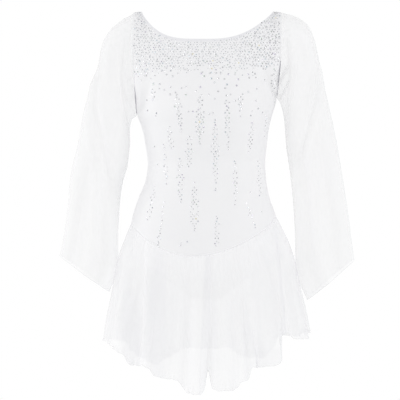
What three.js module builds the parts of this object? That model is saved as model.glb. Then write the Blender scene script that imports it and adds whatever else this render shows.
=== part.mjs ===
// A long-sleeved figure skating dress as it is worn, on a general figure that is left out.
// Millimetres, +Z up. The wearer faces -Y, and the origin lies midway between the shoulder tops.
// Each cut piece is a thin wall: an outer surface of points, and an inner one set in along its
// normals. "down" is a distance below the shoulder tops, and "turn" is the angle round the body,
// 0 at the middle of a panel and 90 degrees at its side seam on +X.
import * as THREE from "three";

// Cloth and seams
const bodiceWall = 1.2;
const chiffonWall = 1;
const briefWall = 1.2;
const seamGap = 0.3;

// Neck, shoulders and armholes
const neckHalfWidth = 137;
const neckDepth = { front: 62, back: 96 };
const neckPower = { front: { negX: 4, posX: 2.6 }, back: { negX: 2.7, posX: 2.7 } };
const shoulderFall = 3;
const armholeDown = { negX: 212, posX: 190 };
const armholeFront = 48;
const armholeBack = 57;
const loopFullness = 2.4;

// The drop seam between bodice and skirt: how far down it is at each side and at its lowest
const seamDown = { negX: 446, posX: 432, front: 511, back: 482 };
const seamLowest = { front: -0.18, back: 0 };
const seamPower = 1.8;

// The skirt's hem
const hemHalfWidth = 218;
const hemFront = 168;
const hemBack = 172;
const hemDown = { negX: 690, posX: 674, front: 786, back: 740 };
const hemPower = 1.7;

// Briefs
const crotchDown = 604;
const crotchHalfWidth = 32;
const legSideDown = 512;
const legSideHalfWidth = 163;
const legFront = 74;
const legBack = 88;

// Facets
const strapColumns = 3;
const neckColumns = 12;
const bodyRows = 7;
const sleeveRings = 17;
const sleeveColumns = 20;
const skirtColumnsPerPanelColumn = 2;
const skirtRows = 9;
const briefRows = 7;

// Share of the armhole's depth at which each bodice row starts, closer where the edge turns
const armholeRows = [0, 0.012, 0.045, 0.11, 0.2, 0.33, 0.5, 0.67, 0.82, 0.92, 0.98, 1];

// Sections of the torso: half widths on each side, and depths in front of and behind the side seams
const torso = [
  { down: 0, negX: 153, posX: 157, front: 0, back: 0 },
  { down: 4, negX: 153, posX: 157, front: 20, back: 22 },
  { down: 12, negX: 154, posX: 157, front: 32, back: 36 },
  { down: 30, negX: 154, posX: 156, front: 47, back: 54 },
  { down: 60, negX: 154, posX: 155, front: 64, back: 73 },
  { down: 100, negX: 154, posX: 154, front: 84, back: 89 },
  { down: 150, negX: 154, posX: 153, front: 105, back: 97 },
  { down: 188, negX: 152, posX: 150, front: 117, back: 96 },
  { down: 212, negX: 150, posX: 141, front: 119, back: 93 },
  { down: 246, negX: 135, posX: 131, front: 114, back: 85 },
  { down: 286, negX: 127, posX: 126, front: 103, back: 75 },
  { down: 320, negX: 123, posX: 123, front: 97, back: 71 },
  { down: 352, negX: 127, posX: 125, front: 98, back: 78 },
  { down: 390, negX: 142, posX: 132, front: 102, back: 93 },
  { down: 430, negX: 155, posX: 146, front: 106, back: 107 },
  { down: 480, negX: 164, posX: 158, front: 110, back: 117 },
  { down: 540, negX: 168, posX: 164, front: 112, back: 118 },
];

// How far out the skirt has come, as a share of its flare, at each share of the way to the hem
const flare = [
  { way: 0, out: 0 },
  { way: 0.12, out: 0.2 },
  { way: 0.25, out: 0.41 },
  { way: 0.4, out: 0.56 },
  { way: 0.6, out: 0.7 },
  { way: 0.8, out: 0.87 },
  { way: 1, out: 1 },
];

// Folds of the skirt: where each lies, its half width, how far it comes out at the hem (a trough
// is negative), how far it lowers the hem, and the share of the way down at which it starts
const frontFolds = [
  { turn: -75, half: 7, out: 6, drop: 0, start: 0.4 },
  { turn: -62, half: 7, out: -9, drop: 0, start: 0.2 },
  { turn: -50, half: 6, out: 11, drop: 6, start: 0.3 },
  { turn: -38, half: 7, out: 13, drop: -8, start: 0 },
  { turn: -24, half: 8, out: -17, drop: -2, start: 0.15 },
  { turn: -6, half: 8, out: 16, drop: 8, start: 0.05 },
  { turn: 6, half: 6, out: -8, drop: -4, start: 0.45 },
  { turn: 16, half: 6, out: 9, drop: 4, start: 0.35 },
  { turn: 29, half: 6, out: -17, drop: -14, start: 0.2 },
  { turn: 40, half: 7, out: 16, drop: 0, start: 0 },
  { turn: 54, half: 8, out: -15, drop: -32, start: 0.25 },
  { turn: 68, half: 7, out: 8, drop: 0, start: 0.3 },
];
const backFolds = [
  { turn: -70, half: 9, out: 8, drop: 3, start: 0.3 },
  { turn: -57, half: 8, out: -12, drop: -5, start: 0.15 },
  { turn: -42, half: 9, out: 14, drop: 6, start: 0.05 },
  { turn: -27, half: 8, out: -15, drop: -6, start: 0.25 },
  { turn: -13, half: 8, out: 13, drop: 4, start: 0.1 },
  { turn: 2, half: 8, out: -14, drop: -5, start: 0.3 },
  { turn: 18, half: 9, out: 15, drop: 7, start: 0 },
  { turn: 33, half: 8, out: -14, drop: -4, start: 0.2 },
  { turn: 48, half: 9, out: 13, drop: 4, start: 0.1 },
  { turn: 64, half: 8, out: -10, drop: -3, start: 0.3 },
];

// Sections of each sleeve from the armhole to the hem: its outer and its underarm point as
// distances from the centre line and down, and its depths in front of and behind its own middle
const sleeveSections = {
  negX: [
    { along: 0, outX: 153, outDown: 3, inX: 150, inDown: 212, front: 48, back: 57, middle: 0 },
    { along: 0.1, outX: 176, outDown: 17, inX: 156, inDown: 226, front: 50, back: 56, middle: 1 },
    { along: 0.2, outX: 202, outDown: 38, inX: 160, inDown: 240, front: 51, back: 55, middle: 2 },
    { along: 0.3, outX: 220, outDown: 70, inX: 161, inDown: 256, front: 52, back: 55, middle: 3 },
    { along: 0.4, outX: 230, outDown: 118, inX: 160, inDown: 275, front: 52, back: 54, middle: 5 },
    { along: 0.5, outX: 246, outDown: 168, inX: 162, inDown: 297, front: 51, back: 53, middle: 8 },
    { along: 0.6, outX: 260, outDown: 218, inX: 166, inDown: 325, front: 52, back: 53, middle: 10 },
    { along: 0.7, outX: 271, outDown: 278, inX: 176, inDown: 359, front: 54, back: 55, middle: 13 },
    { along: 0.8, outX: 287, outDown: 344, inX: 183, inDown: 405, front: 56, back: 58, middle: 17 },
    { along: 0.9, outX: 296, outDown: 430, inX: 187, inDown: 485, front: 60, back: 62, middle: 22 },
    { along: 0.95, outX: 302, outDown: 472, inX: 187, inDown: 537, front: 63, back: 65, middle: 26 },
    { along: 1, outX: 310, outDown: 512, inX: 205, inDown: 588, front: 66, back: 68, middle: 30 },
  ],
  posX: [
    { along: 0, outX: 157, outDown: 3, inX: 150, inDown: 190, front: 48, back: 57, middle: 0 },
    { along: 0.1, outX: 182, outDown: 9, inX: 156, inDown: 203, front: 50, back: 56, middle: 1 },
    { along: 0.2, outX: 209, outDown: 25, inX: 160, inDown: 218, front: 51, back: 55, middle: 2 },
    { along: 0.3, outX: 226, outDown: 56, inX: 163, inDown: 237, front: 52, back: 55, middle: 3 },
    { along: 0.4, outX: 237, outDown: 104, inX: 165, inDown: 259, front: 52, back: 54, middle: 5 },
    { along: 0.5, outX: 248, outDown: 157, inX: 167, inDown: 284, front: 51, back: 53, middle: 8 },
    { along: 0.6, outX: 260, outDown: 210, inX: 171, inDown: 313, front: 52, back: 53, middle: 10 },
    { along: 0.7, outX: 273, outDown: 270, inX: 176, inDown: 347, front: 54, back: 55, middle: 13 },
    { along: 0.8, outX: 287, outDown: 348, inX: 182, inDown: 400, front: 56, back: 58, middle: 17 },
    { along: 0.9, outX: 301, outDown: 440, inX: 187, inDown: 485, front: 60, back: 62, middle: 22 },
    { along: 0.95, outX: 306, outDown: 480, inX: 188, inDown: 544, front: 63, back: 65, middle: 26 },
    { along: 1, outX: 312, outDown: 521, inX: 212, inDown: 606, front: 66, back: 68, middle: 30 },
  ],
};

// The largest creases of each sleeve, as straight lines on its surface: "along" is the share of
// the way to the hem, "round" the angle from the outer line over the front, "half" the half width
// in degrees of round, and "deep" how far the cloth goes in
const sleeveCreases = {
  negX: [
    { along0: 0.42, round0: 20, along1: 0.74, round1: 128, half: 20, deep: 8 },
    { along0: 0.1, round0: 60, along1: 0.3, round1: 150, half: 20, deep: 5 },
    { along0: 0.72, round0: 75, along1: 1, round1: 55, half: 18, deep: 6 },
    { along0: 0.7, round0: 110, along1: 1, round1: 122, half: 16, deep: 7 },
    { along0: 0.45, round0: 320, along1: 0.76, round1: 230, half: 20, deep: 8 },
    { along0: 0.74, round0: 290, along1: 1, round1: 305, half: 20, deep: 7 },
  ],
  posX: [
    { along0: 0.4, round0: 25, along1: 0.66, round1: 130, half: 20, deep: 9 },
    { along0: 0.08, round0: 70, along1: 0.26, round1: 150, half: 20, deep: 6 },
    { along0: 0.7, round0: 70, along1: 1, round1: 62, half: 18, deep: 6 },
    { along0: 0.68, round0: 118, along1: 1, round1: 128, half: 16, deep: 7 },
    { along0: 0.42, round0: 315, along1: 0.7, round1: 235, half: 20, deep: 8 },
    { along0: 0.72, round0: 285, along1: 1, round1: 300, half: 20, deep: 7 },
  ],
};

const white = new THREE.Color("#f4f4f7");
const quarterTurn = Math.PI / 2;
const degree = Math.PI / 180;

function clamp(value, low, high) {
  return Math.min(Math.max(value, low), high);
}

function mix(from, to, share) {
  return from + (to - from) * share;
}

function smoothStep(low, high, value) {
  const share = clamp((value - low) / (high - low), 0, 1);
  return share * share * (3 - 2 * share);
}

function sideOf(turn) {
  return turn < 0 ? "negX" : "posX";
}

// A smooth curve through two columns of a table: cubic pieces whose slopes never overshoot.
function curveThrough(rows, x, y) {
  const xs = rows.map((row) => row[x]);
  const ys = rows.map((row) => row[y]);
  const rises = xs.slice(1).map((value, i) => (ys[i + 1] - ys[i]) / (value - xs[i]));
  const slopes = xs.map((_, i) => {
    const before = rises[Math.max(i - 1, 0)];
    const after = rises[Math.min(i, rises.length - 1)];
    return before * after <= 0 ? 0 : (2 * before * after) / (before + after);
  });
  return (at) => {
    let i = 0;
    while (i < xs.length - 2 && at > xs[i + 1]) i += 1;
    const width = xs[i + 1] - xs[i];
    const t = clamp((at - xs[i]) / width, 0, 1);
    const startShare = 1 - t * t * (3 - 2 * t);
    const startSlope = t * (1 - t) * (1 - t) * width;
    const endSlope = t * t * (t - 1) * width;
    return (
      ys[i] * startShare + ys[i + 1] * (1 - startShare) + slopes[i] * startSlope + slopes[i + 1] * endSlope
    );
  };
}

const torsoAt = Object.fromEntries(
  ["negX", "posX", "front", "back"].map((column) => [column, curveThrough(torso, "down", column)]),
);
const flareAt = curveThrough(flare, "way", "out");

// Depth of the armhole, or of a sleeve section, as a share of its greatest: 0 at each end of the
// loop and 1 halfway, with fuller ends than an ellipse.
function loopDepth(share) {
  return Math.sqrt(1 - Math.abs(2 * clamp(share, 0, 1) - 1) ** loopFullness);
}

// How far the armhole's edge lies from the side seam's plane at a level.
function armholeDepth(side, face, down) {
  const share = (down - shoulderFall) / (armholeDown[side] - shoulderFall);
  return (face === "front" ? armholeFront : armholeBack) * (share >= 1 ? 0 : loopDepth(share));
}

// A point of the torso's outer surface. Across a panel x = W sin(turn), and the depth is
// E + (D - E) cos(turn)^k, where W is the half width, D the depth of the section, E that of the
// armhole's edge, and k falls from 2 beside the armhole to 1, an ellipse, below it.
function torsoPoint(face, turn, down) {
  const side = sideOf(turn);
  const width = torsoAt[side](down);
  const edge = armholeDepth(side, face, down);
  const roundness = 2 - smoothStep(0.7, 1.05, down / armholeDown[side]);
  const cosine = Math.max(Math.cos(turn), 0);
  const depth = edge + (torsoAt[face](down) - edge) * cosine ** roundness;
  const y = face === "front" ? -depth - seamGap / 2 : depth + seamGap / 2;
  return new THREE.Vector3(width * Math.sin(turn), y, -down);
}

const neckTurn = Math.asin(neckHalfWidth / torso[0].negX);

// How far down the top edge of a panel is: the shoulder seam, then the scoop of the neck.
function topDown(face, turn) {
  if (Math.abs(turn) >= neckTurn) {
    return (shoulderFall * (Math.abs(turn) - neckTurn)) / (quarterTurn - neckTurn);
  }
  const share = Math.abs(Math.sin(turn)) / Math.sin(neckTurn);
  return neckDepth[face] * (1 - share ** neckPower[face][sideOf(turn)]);
}

// How far down the drop seam is.
function bottomDown(face, turn) {
  const across = Math.sin(turn) - seamLowest[face];
  const reach = across < 0 ? 1 + seamLowest[face] : 1 - seamLowest[face];
  const sideDown = across < 0 ? seamDown.negX : seamDown.posX;
  return mix(seamDown[face], sideDown, (Math.abs(across) / reach) ** seamPower);
}

// The angles of a panel's columns, from the -X side seam to the +X one.
function panelTurns() {
  const strap = Array.from({ length: strapColumns }, (_, i) =>
    mix(quarterTurn, neckTurn, i / strapColumns),
  );
  const neck = Array.from({ length: neckColumns + 1 }, (_, i) =>
    mix(-neckTurn, neckTurn, i / neckColumns),
  );
  return [...strap.map((turn) => -turn), ...neck, ...strap.toReversed()];
}

// Levels of the bodice's rows at one side seam.
function sideLevels(side) {
  const top = armholeRows.map((share) => mix(shoulderFall, armholeDown[side], share));
  const rest = Array.from({ length: bodyRows }, (_, i) =>
    mix(armholeDown[side], seamDown[side], (i + 1) / bodyRows),
  );
  return [...top, ...rest];
}

const sideRows = { negX: sideLevels("negX"), posX: sideLevels("posX") };
const turns = panelTurns();

function bodiceGrid(face) {
  return sideRows.negX.map((_, row) =>
    turns.map((turn) => {
      const weight = (1 + Math.sin(turn)) / 2;
      const level = mix(sideRows.negX[row], sideRows.posX[row], weight);
      const top = mix(sideRows.negX[0], sideRows.posX[0], weight);
      const bottom = mix(sideRows.negX.at(-1), sideRows.posX.at(-1), weight);
      const share = (level - top) / (bottom - top);
      return torsoPoint(face, turn, mix(topDown(face, turn), bottomDown(face, turn), share));
    }),
  );
}

// A point just under the drop seam, on the straight facets between the bodice's columns.
function seamPoint(face, turn) {
  let i = 0;
  while (i < turns.length - 2 && turn > turns[i + 1]) i += 1;
  const share = (turn - turns[i]) / (turns[i + 1] - turns[i]);
  const from = torsoPoint(face, turns[i], bottomDown(face, turns[i]));
  const to = torsoPoint(face, turns[i + 1], bottomDown(face, turns[i + 1]));
  const point = from.lerp(to, share);
  point.z -= seamGap;
  return point;
}

// The sum of a table's folds at an angle, each a smooth bump as wide as twice its half width.
function foldSum(folds, turn, column, way) {
  return folds.reduce((sum, fold) => {
    const distance = Math.abs(turn / degree - fold.turn) / (2 * fold.half);
    const bump = distance < 1 ? Math.cos((distance * Math.PI) / 2) ** 2 : 0;
    return sum + fold[column] * bump * smoothStep(fold.start, 1.15, way);
  }, 0);
}

// Skirt: each column leaves the drop seam and flares out to an oval hem, and the folds grow on
// the way down.
function skirtPoint(face, turn, way) {
  const folds = face === "front" ? frontFolds : backFolds;
  const start = seamPoint(face, turn);
  const lowest = mix(hemDown[face], hemDown[sideOf(turn)], Math.abs(Math.sin(turn)) ** hemPower);
  const hemDepth = face === "front" ? -hemFront : hemBack;
  const outward = new THREE.Vector3(Math.sin(turn), Math.sign(hemDepth) * Math.cos(turn), 0);
  const end = new THREE.Vector3(
    hemHalfWidth * Math.sin(turn),
    hemDepth * Math.cos(turn) + Math.sign(hemDepth) * (seamGap / 2),
    -lowest - foldSum(folds, turn, "drop", 1),
  );
  const point = start.clone().lerp(end, flareAt(way));
  point.z = mix(start.z, end.z, way);
  return point.addScaledVector(outward, foldSum(folds, turn, "out", way));
}

function skirtGrid(face) {
  const columns = turns
    .slice(1)
    .flatMap((turn, i) =>
      Array.from({ length: skirtColumnsPerPanelColumn }, (_, part) =>
        mix(turns[i], turn, part / skirtColumnsPerPanelColumn),
      ),
    );
  columns.push(turns.at(-1));
  return Array.from({ length: skirtRows + 1 }, (_, row) =>
    columns.map((turn) => skirtPoint(face, turn, row / skirtRows)),
  );
}

// Briefs: each column is a parabola from just inside the drop seam to the leg line, or, in the
// middle, to the crotch seam.
function briefGrid(face) {
  const sign = face === "front" ? -1 : 1;
  const legDepth = face === "front" ? legFront : legBack;
  const crotchTurn = 20 * degree;
  const inset = chiffonWall + seamGap;
  return Array.from({ length: briefRows + 1 }, (_, row) =>
    turns.map((turn) => {
      const start = seamPoint(face, turn);
      const inward = new THREE.Vector3(-Math.sin(turn), -sign * Math.cos(turn), 0);
      start.addScaledVector(inward, inset + 0.1);
      start.y = sign * Math.max(sign * start.y, seamGap / 2);
      const away = Math.max(Math.abs(turn) - crotchTurn, 0) / (quarterTurn - crotchTurn);
      const middle = clamp(turn / crotchTurn, -1, 1);
      const legX = Math.sign(turn) * (legSideHalfWidth - crotchHalfWidth) * away ** 1.15;
      const end = new THREE.Vector3(
        middle * crotchHalfWidth + legX,
        sign * (seamGap / 2 + legDepth * Math.sin(Math.PI * away) ** 0.8),
        -mix(crotchDown, legSideDown, away ** 0.85),
      );
      const bend = new THREE.Vector3(
        mix(start.x, end.x, 0.4),
        mix(start.y, end.y, 0.08),
        mix(start.z, end.z, 0.88),
      );
      return new THREE.QuadraticBezierCurve3(start, bend, end).getPoint(row / briefRows);
    }),
  );
}

// How far a sleeve's creases take its surface in at a point.
function creaseDepth(side, along, round) {
  return sleeveCreases[side].reduce((sum, crease) => {
    const share = clamp((along - crease.along0) / (crease.along1 - crease.along0), 0, 1);
    const centre = mix(crease.round0, crease.round1, share);
    const across = (round - centre) / crease.half;
    const beyond = Math.max(crease.along0 - along, along - crease.along1, 0) / 0.08;
    return sum + crease.deep * Math.exp(-across * across - beyond * beyond);
  }, 0);
}

// Sleeves: each ring is a loop between its outer and its underarm point, and the first lies along
// the armhole.
function sleeveGrid(side) {
  const sign = side === "negX" ? -1 : 1;
  const columns = ["outX", "outDown", "inX", "inDown", "front", "back", "middle"];
  const section = Object.fromEntries(
    columns.map((column) => [column, curveThrough(sleeveSections[side], "along", column)]),
  );
  return Array.from({ length: sleeveRings + 1 }, (_, ring) => {
    const along = ring / sleeveRings;
    return Array.from({ length: sleeveColumns }, (_, i) => {
      const round = (360 * i) / sleeveColumns;
      const angle = sign < 0 ? round : 360 - round;
      const inShare = (1 - Math.cos(angle * degree)) / 2;
      const face = angle % 360 < 180 ? "front" : "back";
      const ySign = face === "front" ? -1 : 1;
      if (ring === 0) {
        const down = mix(shoulderFall, armholeDown[side], inShare);
        const x = sign * (torsoAt[side](down) + seamGap);
        const y = ySign * (armholeDepth(side, face, down) + seamGap / 2);
        return new THREE.Vector3(x, y, -down);
      }
      const opening = smoothStep(0, 0.25, along);
      const crease = opening * creaseDepth(side, along, angle % 360);
      const depth = section[face](along) * loopDepth(inShare);
      const x = mix(section.outX(along), section.inX(along), inShare);
      const down = mix(section.outDown(along), section.inDown(along), inShare);
      const point = new THREE.Vector3(sign * x, section.middle(along) + ySign * depth, -down);
      const centre = new THREE.Vector3(
        (sign * (section.outX(along) + section.inX(along))) / 2,
        section.middle(along),
        -(section.outDown(along) + section.inDown(along)) / 2,
      );
      return point.addScaledVector(centre.sub(point).normalize(), crease);
    });
  });
}

// Outward normals of a grid whose rows run down and whose columns run to the right as seen from
// outside.
function gridNormals(grid, isTube) {
  const rows = grid.length;
  const columns = grid[0].length;
  return grid.map((line, row) =>
    line.map((_, column) => {
      const right = isTube ? (column + 1) % columns : Math.min(column + 1, columns - 1);
      const left = isTube ? (column + columns - 1) % columns : Math.max(column - 1, 0);
      const across = line[right].clone().sub(line[left]);
      const below = grid[Math.min(row + 1, rows - 1)][column];
      const downward = below.clone().sub(grid[Math.max(row - 1, 0)][column]);
      return downward.cross(across).normalize();
    }),
  );
}

// A closed wall: the outer grid, the inner grid set in by the wall, and rims round its edges.
// "square" lists components that a normal loses on an edge, so that two rims that face each
// other at a seam stay apart.
function wallGeometry(grid, wall, { isTube = false, square = () => [] } = {}) {
  const rows = grid.length;
  const columns = grid[0].length;
  const normals = gridNormals(grid, isTube);
  const inner = grid.map((line, row) =>
    line.map((point, column) => {
      const normal = normals[row][column];
      square(row, column, rows, columns).forEach((axis) => {
        normal[axis] = 0;
      });
      return point.clone().addScaledVector(normal.normalize(), -wall);
    }),
  );
  const points = [...grid.flat(), ...inner.flat()];
  const outerAt = (row, column) => row * columns + (column % columns);
  const innerAt = (row, column) => rows * columns + outerAt(row, column);
  const triangles = [];
  const lastColumn = isTube ? columns : columns - 1;
  for (let row = 0; row < rows - 1; row += 1) {
    for (let column = 0; column < lastColumn; column += 1) {
      const corners = [
        [row, column],
        [row + 1, column],
        [row + 1, column + 1],
        [row, column + 1],
      ];
      const [a, b, c, d] = corners.map(([r, k]) => outerAt(r, k));
      const [e, f, g, h] = corners.map(([r, k]) => innerAt(r, k));
      triangles.push(a, b, c, a, c, d, e, g, f, e, h, g);
    }
  }
  const rim = (from, to) => {
    const p = outerAt(...from);
    const q = outerAt(...to);
    const r = innerAt(...from);
    const s = innerAt(...to);
    triangles.push(q, p, r, q, r, s);
  };
  for (let column = 0; column < lastColumn; column += 1) {
    rim([0, column + 1], [0, column]);
    rim([rows - 1, column], [rows - 1, column + 1]);
  }
  for (let row = 0; row < rows - 1 && !isTube; row += 1) {
    rim([row, 0], [row + 1, 0]);
    rim([row + 1, columns - 1], [row, columns - 1]);
  }
  const geometry = new THREE.BufferGeometry();
  geometry.setAttribute(
    "position",
    new THREE.Float32BufferAttribute(points.flatMap((point) => point.toArray()), 3),
  );
  geometry.setIndex(triangles);
  geometry.computeVertexNormals();
  return geometry;
}

// Back panels are seen from behind, so their columns run from +X to -X.
function facing(face, grid) {
  return face === "front" ? grid : grid.map((line) => line.toReversed());
}

function piece(name, geometry, material) {
  const mesh = new THREE.Mesh(geometry, material);
  mesh.name = name;
  return mesh;
}

function bodicePiece(face) {
  const armholeLast = armholeRows.length - 2;
  const square = (row, column, rows, columns) => {
    const axes = [];
    const atSide = column === 0 || column === columns - 1;
    const inStrap = Math.min(column, columns - 1 - column) <= strapColumns;
    if (row === rows - 1) axes.push("z");
    if ((atSide && row >= armholeLast) || (inStrap && row === 0)) axes.push("y");
    return axes;
  };
  const material = new THREE.MeshStandardMaterial({ color: white, roughness: 0.55, metalness: 0 });
  const grid = facing(face, bodiceGrid(face));
  return piece(`bodice_${face}`, wallGeometry(grid, bodiceWall, { square }), material);
}

function skirtPiece(face) {
  const square = (row, column, rows, columns) => {
    const axes = row === 0 ? ["z"] : [];
    return column === 0 || column === columns - 1 ? [...axes, "y"] : axes;
  };
  const material = new THREE.MeshStandardMaterial({ color: white, roughness: 0.8, metalness: 0 });
  const grid = facing(face, skirtGrid(face));
  return piece(`skirt_${face}`, wallGeometry(grid, chiffonWall, { square }), material);
}

function briefPiece(face) {
  const square = (row, column, rows, columns) => {
    const axes = row === 0 ? ["z"] : [];
    const atSide = column === 0 || column === columns - 1;
    return atSide || row === rows - 1 ? [...axes, "y"] : axes;
  };
  const material = new THREE.MeshStandardMaterial({ color: white, roughness: 0.6, metalness: 0 });
  const grid = facing(face, briefGrid(face));
  return piece(`brief_${face}`, wallGeometry(grid, briefWall, { square }), material);
}

function sleevePiece(name, side) {
  const square = (row) => (row === 0 ? ["x"] : []);
  const material = new THREE.MeshStandardMaterial({ color: white, roughness: 0.8, metalness: 0 });
  return piece(name, wallGeometry(sleeveGrid(side), chiffonWall, { isTube: true, square }), material);
}

function group(name, pieces) {
  const made = new THREE.Group();
  made.name = name;
  made.add(...pieces);
  return made;
}

const dress = group("figure_skating_dress", [
  group("bodice", [bodicePiece("front"), bodicePiece("back")]),
  group("sleeves", [sleevePiece("sleeve_right", "negX"), sleevePiece("sleeve_left", "posX")]),
  group("skirt", [skirtPiece("front"), skirtPiece("back")]),
  group("briefs", [briefPiece("front"), briefPiece("back")]),
]);

export default dress;
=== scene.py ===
import math

import bpy
import numpy as np
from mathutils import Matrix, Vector


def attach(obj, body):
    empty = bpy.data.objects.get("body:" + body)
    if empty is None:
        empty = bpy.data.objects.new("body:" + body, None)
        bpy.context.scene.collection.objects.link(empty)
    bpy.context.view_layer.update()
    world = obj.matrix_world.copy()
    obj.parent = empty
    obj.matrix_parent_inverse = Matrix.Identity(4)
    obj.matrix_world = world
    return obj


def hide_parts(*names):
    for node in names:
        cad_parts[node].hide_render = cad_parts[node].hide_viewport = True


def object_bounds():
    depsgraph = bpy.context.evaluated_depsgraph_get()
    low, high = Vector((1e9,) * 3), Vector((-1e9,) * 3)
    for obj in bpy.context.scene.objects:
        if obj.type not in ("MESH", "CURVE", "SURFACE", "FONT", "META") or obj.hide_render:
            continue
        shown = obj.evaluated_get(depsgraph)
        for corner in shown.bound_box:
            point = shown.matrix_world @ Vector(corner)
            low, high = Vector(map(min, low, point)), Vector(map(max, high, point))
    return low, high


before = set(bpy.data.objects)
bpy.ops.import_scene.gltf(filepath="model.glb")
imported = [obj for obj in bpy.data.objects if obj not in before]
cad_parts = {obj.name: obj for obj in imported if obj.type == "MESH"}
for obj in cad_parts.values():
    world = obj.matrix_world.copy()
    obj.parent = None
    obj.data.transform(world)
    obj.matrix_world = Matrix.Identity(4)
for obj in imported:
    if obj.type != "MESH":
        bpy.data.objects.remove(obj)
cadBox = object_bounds()

# A figure skating dress on the frame of its solids. Sizes are in millimetres until a mesh is made.
# "down" is a distance below the shoulder tops, "turn" the angle round the body, 0 at the middle of
# a panel and 90 degrees at its side seam on +X. The wearer faces -Y.
millimetre = 0.001
degree = math.pi / 180
xSign = {"negX": -1, "posX": 1}
ySign = {"front": -1, "back": 1}


def table(names, rows):
    # rows of numbers as records with the named columns
    return [dict(zip(names.split(), row)) for row in rows]


def columnOf(rows, name):
    return np.array([row[name] for row in rows])


def mix(start, end, share):
    return start + (end - start) * share


def smoothStep(low, high, value):
    share = np.clip((value - low) / (high - low), 0, 1)
    return share * share * (3 - 2 * share)


def hump(distance):
    # cosine squared, 1 in the middle and 0 from a distance of 1 on
    return np.cos(np.clip(distance, -1, 1) * math.pi / 2) ** 2


def curveThrough(rows, x, y):
    # a smooth curve through two columns of a table, in cubic pieces whose slopes never overshoot
    xs = columnOf(rows, x).astype(float)
    ys = columnOf(rows, y).astype(float)
    rises = np.diff(ys) / np.diff(xs)
    before = np.concatenate([rises[:1], rises])
    after = np.concatenate([rises, rises[-1:]])
    product = before * after
    slopes = np.where(product > 0, 2 * product / np.where(product > 0, before + after, 1), 0)

    def at(value):
        value = np.asarray(value, float)
        i = np.clip(np.searchsorted(xs, value, side="left") - 1, 0, len(xs) - 2)
        width = xs[i + 1] - xs[i]
        t = np.clip((value - xs[i]) / width, 0, 1)
        endShare = t * t * (3 - 2 * t)
        bend = slopes[i] * t * (1 - t) ** 2 + slopes[i + 1] * t * t * (t - 1)
        return mix(ys[i], ys[i + 1], endShare) + bend * width

    return at


def ripple(value, lengths, seed):
    # a sum of sine waves of the given lengths with phases from a seed, mostly between -1 and 1
    phases = np.random.default_rng(seed).uniform(0, 2 * math.pi, len(lengths))
    waves = [np.sin(2 * math.pi * value / length + phase) for length, phase in zip(lengths, phases)]
    return sum(waves) / len(lengths) ** 0.5


def unit(vectors):
    return vectors / np.maximum(np.linalg.norm(vectors, axis=-1, keepdims=True), 1e-9)


def runningLengths(steps):
    # the distance from the start to each point, from the steps between them
    return np.concatenate([[0], steps.cumsum()])


def gridNormals(points, wraps=False):
    # the cross product of the steps down the rows and across the columns, which points outwards
    padded = np.concatenate([points[:, -1:], points, points[:, :1]], axis=1) if wraps else points
    normals = unit(np.cross(np.gradient(padded, axis=0), np.gradient(padded, axis=1)))
    return normals[:, 1:-1] if wraps else normals


def clothLengths(points, wraps=False):
    # distance along the cloth across each row and down each column, in metres, for its UV map
    across = np.linalg.norm(np.diff(points, axis=1), axis=2).mean(axis=0)
    downward = np.linalg.norm(np.diff(points, axis=0), axis=2).mean(axis=1)
    if wraps:
        across = np.append(across, np.linalg.norm(points[:, 0] - points[:, -1], axis=1).mean())
    return runningLengths(across) * millimetre, runningLengths(downward) * millimetre


def meshObject(name, vertices, quads, uvs=None, smooth=True):
    mesh = bpy.data.meshes.new(name)
    mesh.vertices.add(len(vertices))
    mesh.vertices.foreach_set("co", (np.asarray(vertices) * millimetre).astype(np.float32).ravel())
    corners = np.asarray(quads, np.int32)
    sides = corners.shape[1]
    mesh.loops.add(corners.size)
    mesh.loops.foreach_set("vertex_index", corners.ravel())
    mesh.polygons.add(len(corners))
    mesh.polygons.foreach_set("loop_start", np.arange(0, corners.size, sides, dtype=np.int32))
    if uvs is not None:
        layer = mesh.uv_layers.new(name="cloth")
        layer.data.foreach_set("uv", uvs.astype(np.float32).ravel())
    mesh.update(calc_edges=True)
    mesh.validate()
    mesh.polygons.foreach_set("use_smooth", np.full(len(corners), smooth))
    made = bpy.data.objects.new(name, mesh)
    bpy.context.scene.collection.objects.link(made)
    return made


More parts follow.
